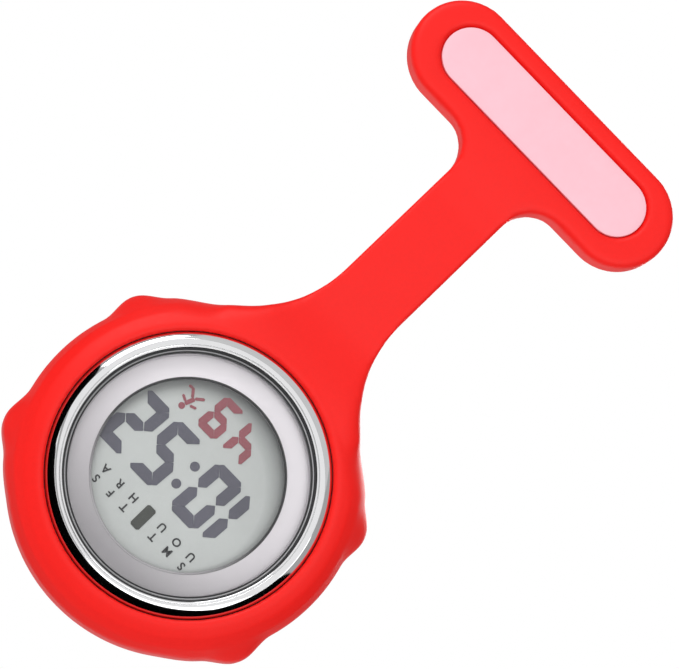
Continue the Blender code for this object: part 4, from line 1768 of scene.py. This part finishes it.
@dataclass
class ButtonSprings:
    """The coils and contact leaves of the four buttons, which give as their button goes in."""

    buttons: int = 4
    coil_seat: float = 16.55
    coil_keep: float = 0.73
    leaf_seat: float = 11.95
    leaf_keep: float = 0.75
    button_depth: float = 6.6

    def build(self) -> None:
        """Makes a coil and a leaf for each button."""
        for number in range(1, self.buttons + 1):
            self.soft("button_coil", "button_spring", number)
            self.soft("contact_leaf", "contact_finger", number)

    def outward(self, number: int) -> Vector:
        """The way a button points.

        Args:
            number: the button's number.

        Returns:
            The direction out from the watch's axis.
        """
        low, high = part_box(f"button_{number}")
        middle = (Vector(low) + Vector(high)) / 2 / MM
        return Vector((middle.x, 0, middle.z - HEAD[2])).normalized()

    def soft(self, name: str, node: str, number: int) -> None:
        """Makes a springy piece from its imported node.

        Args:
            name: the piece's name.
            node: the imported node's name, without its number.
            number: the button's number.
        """
        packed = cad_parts[f"{node}_{number}"]
        shape = bpy.data.objects.new(f"{name}_{number}", packed.data.copy())
        bpy.context.scene.collection.objects.link(shape)
        shape.matrix_world = packed.matrix_world
        piece = Piece(f"{name}_{number}", shape)
        with piece.editing():
            piece.close_up()
        piece.smooth(50)
        piece.dress(Look.SPRING, "spring_steel").mount("watch", f"{node}_{number}")
        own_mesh(piece.shape)


@dataclass
class Insides:
    """Everything shut up in the case, dressed where it is."""

    looks: ClassVar[dict[str, Look]] = {
        "case_middle": Look.CASE, "case_back_gasket": Look.GASKET, "lcd_front_glass": Look.GLASS,
        "lcd_rear_glass": Look.GLASS, "lcd_reflector": Look.REFLECTOR, "zebra_strip": Look.GASKET,
        "module_frame": Look.MODULE, "circuit_board": Look.BOARD_GREEN, "chip_blob": Look.EPOXY,
        "quartz_can": Look.NICKEL, "capacitor": Look.CERAMIC, "backlight_lamp": Look.LAMP,
        "battery_contact": Look.SPRING, "battery_cage": Look.MODULE, "battery_clip": Look.SPRING,
        "battery": Look.STEEL, "module_screw": Look.STEEL, "button_circlip": Look.SPRING,
        "button_seal": Look.GASKET, "button": Look.CHROME}

    def build(self, replaced: set[str]) -> None:
        """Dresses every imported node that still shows.

        Args:
            replaced: the nodes that other pieces stand for.
        """
        for name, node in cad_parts.items():
            if name in replaced:
                continue
            kind = next(kind for kind in self.looks if name.startswith(kind))
            if not node.material_slots:
                node.data.materials.append(None)
            for holder in node.material_slots:
                holder.material = self.looks[kind].material()
            LOG.info("%s: %s", name, self.looks[kind].value.name)


# ---------------------------------------------------------------- studio

@dataclass
class Studio:
    """Camera, soft light, floor and the cards that the chrome reflects."""

    lens: float = 150.0
    sensor: float = 36.0
    view_width: float = 78.5
    look_at: Point = (0.4, -7.0, -34.3)
    strap_lean: float = 44.0
    rise: float = 12.2
    nearest: float = 10.0
    farthest: float = 20000.0
    floor_height: float = -220.0
    floor_radius: float = 1300.0
    floor_glow: float = 0.86
    ambient: float = 0.40

    def build(self) -> None:
        """Sets up the whole studio."""
        self.camera()
        self.floor()
        self.lights()
        self.cards()
        self.surroundings()

    def camera(self) -> None:
        """The camera: a little below the watch, rolled so that the strap leans."""
        lean, rise = radians(self.strap_lean), radians(self.rise)
        looking = Vector((0, cos(rise), sin(rise)))
        across, along = Vector((1, 0, 0)), Vector((0, -sin(rise), cos(rise)))
        right = along * cos(lean) + across * sin(lean)
        up = along * sin(lean) - across * cos(lean)
        turn = Matrix((right, up, -looking)).transposed()
        distance = self.lens * self.view_width / self.sensor
        place = metres(self.look_at) - looking * distance * MM
        bpy.ops.object.camera_add(location=place, rotation=turn.to_euler())
        camera = bpy.context.object
        camera.name = "studio_camera"
        camera.data.lens = self.lens
        camera.data.sensor_width = self.sensor
        camera.data.clip_start = self.nearest * MM
        camera.data.clip_end = self.farthest * MM
        bpy.context.scene.camera = camera

    def floor(self) -> None:
        """A wide pale floor under the hanging watch."""
        clear_selection()
        bpy.ops.mesh.primitive_circle_add(vertices=96, radius=self.floor_radius * MM, fill_type="NGON",
                                          location=(0, 0, self.floor_height * MM))
        floor = Piece("studio_floor")
        paper = Printed("floor_paper", (0.12, 0.12, 0.12), roughness=0.8, fibre=0.02,
                        contrast=0.01).make()
        shader = paper.node_tree.nodes["Principled BSDF"]
        shader.inputs["Emission Color"].default_value = (1, 1, 1, 1)
        shader.inputs["Emission Strength"].default_value = self.floor_glow
        floor.shape.data.materials.append(paper)

    def area(self, name: str, place: Point, target: Point, size: float, power: float) -> None:
        """A soft square white light aimed at a point.

        Args:
            name: its name.
            place: where it hangs.
            target: what it points at.
            size: its side.
            power: watts.
        """
        turn = (metres(target) - metres(place)).to_track_quat("-Z", "Y").to_euler()
        bpy.ops.object.light_add(type="AREA", location=metres(place), rotation=turn)
        light = bpy.context.object
        light.name = name
        light.data.size = size * MM
        light.data.energy = power

    def lights(self) -> None:
        """Key from the left and above, fill from the front and a rim from behind."""
        middle = (0, 0, -40)
        self.area("key_light", (-330, -330, 190), middle, size=300, power=1.35)
        self.area("fill_light", (180, -520, -60), middle, size=400, power=0.82)
        self.area("back_light", (120, 420, 260), middle, size=350, power=1.5)

    def card(self, name: str, middle: Point, normal: Point, width: float, height: float,
             glow: float) -> None:
        """A card that only reflections see.

        Args:
            name: its name.
            middle: its middle.
            normal: where it faces.
            width: its width.
            height: its height.
            glow: how bright it is; 0 is black.
        """
        clear_selection()
        turn = Vector(normal).to_track_quat("Z", "Y").to_euler()
        bpy.ops.mesh.primitive_plane_add(size=1.0, location=metres(middle), rotation=turn)
        card = bpy.context.object
        card.scale = (width * MM, height * MM, 1)
        piece = Piece(name, card)
        board = Board(name + "_paper")
        board.set(Base_Color=(0, 0, 0, 1), Roughness=1.0, Specular_IOR_Level=0.0,
                  Emission_Color=(1, 1, 1, 1), Emission_Strength=glow)
        piece.shape.data.materials.append(board.material)
        piece.shape.visible_camera = False
        piece.shape.visible_diffuse = False
        piece.shape.visible_shadow = False
        piece.shape.visible_transmission = False

    def cards(self) -> None:
        """Black cards below and beside the watch, and bright ones above and before it."""
        self.card("black_card_below", (20, -60, -108), (0.1, 0, 1), width=260, height=220, glow=0.0)
        self.card("black_card_right", (105, -45, -92), (-1, 0, 0.1), width=200, height=100, glow=0.0)
        self.card("black_card_left", (-105, -45, -85), (1, 0, 0.1), width=200, height=100, glow=0.0)
        self.card("white_card", (0, -120, 140), (0, 0.3, -1), width=320, height=220, glow=0.62)
        self.card("front_card", (0, -115, -20), (0, 1, 0), width=170, height=92, glow=0.9)

    def surroundings(self) -> None:
        """White all round: full white to the eye, softer as light."""
        world = bpy.data.worlds.new("studio_white")
        bpy.context.scene.world = world
        world.use_nodes = True
        nodes, links = world.node_tree.nodes, world.node_tree.links
        ground = nodes["Background"]
        path = nodes.new("ShaderNodeLightPath")
        level = nodes.new("ShaderNodeMapRange")
        level.inputs["To Min"].default_value = self.ambient
        level.inputs["To Max"].default_value = 1.0
        links.new(path.outputs["Is Camera Ray"], level.inputs["Value"])
        ground.inputs["Color"].default_value = (1, 1, 1, 1)
        links.new(level.outputs["Result"], ground.inputs["Strength"])
        bpy.context.scene.view_settings.view_transform = "Standard"


def main() -> None:
    """Builds the watch sub-assembly by sub-assembly, then the studio round it."""
    logging.basicConfig(level=logging.INFO, format="%(message)s")
    assemblies = (SiliconeHolder(), LabelInsert(), BroochPin(), WatchCase(), Display(), ButtonSprings())
    for assembly in assemblies:
        assembly.build()
    replaced = {name for name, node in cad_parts.items() if node.hide_render}
    Insides().build(replaced)
    Studio().build()


if __name__ == "__main__":
    main()
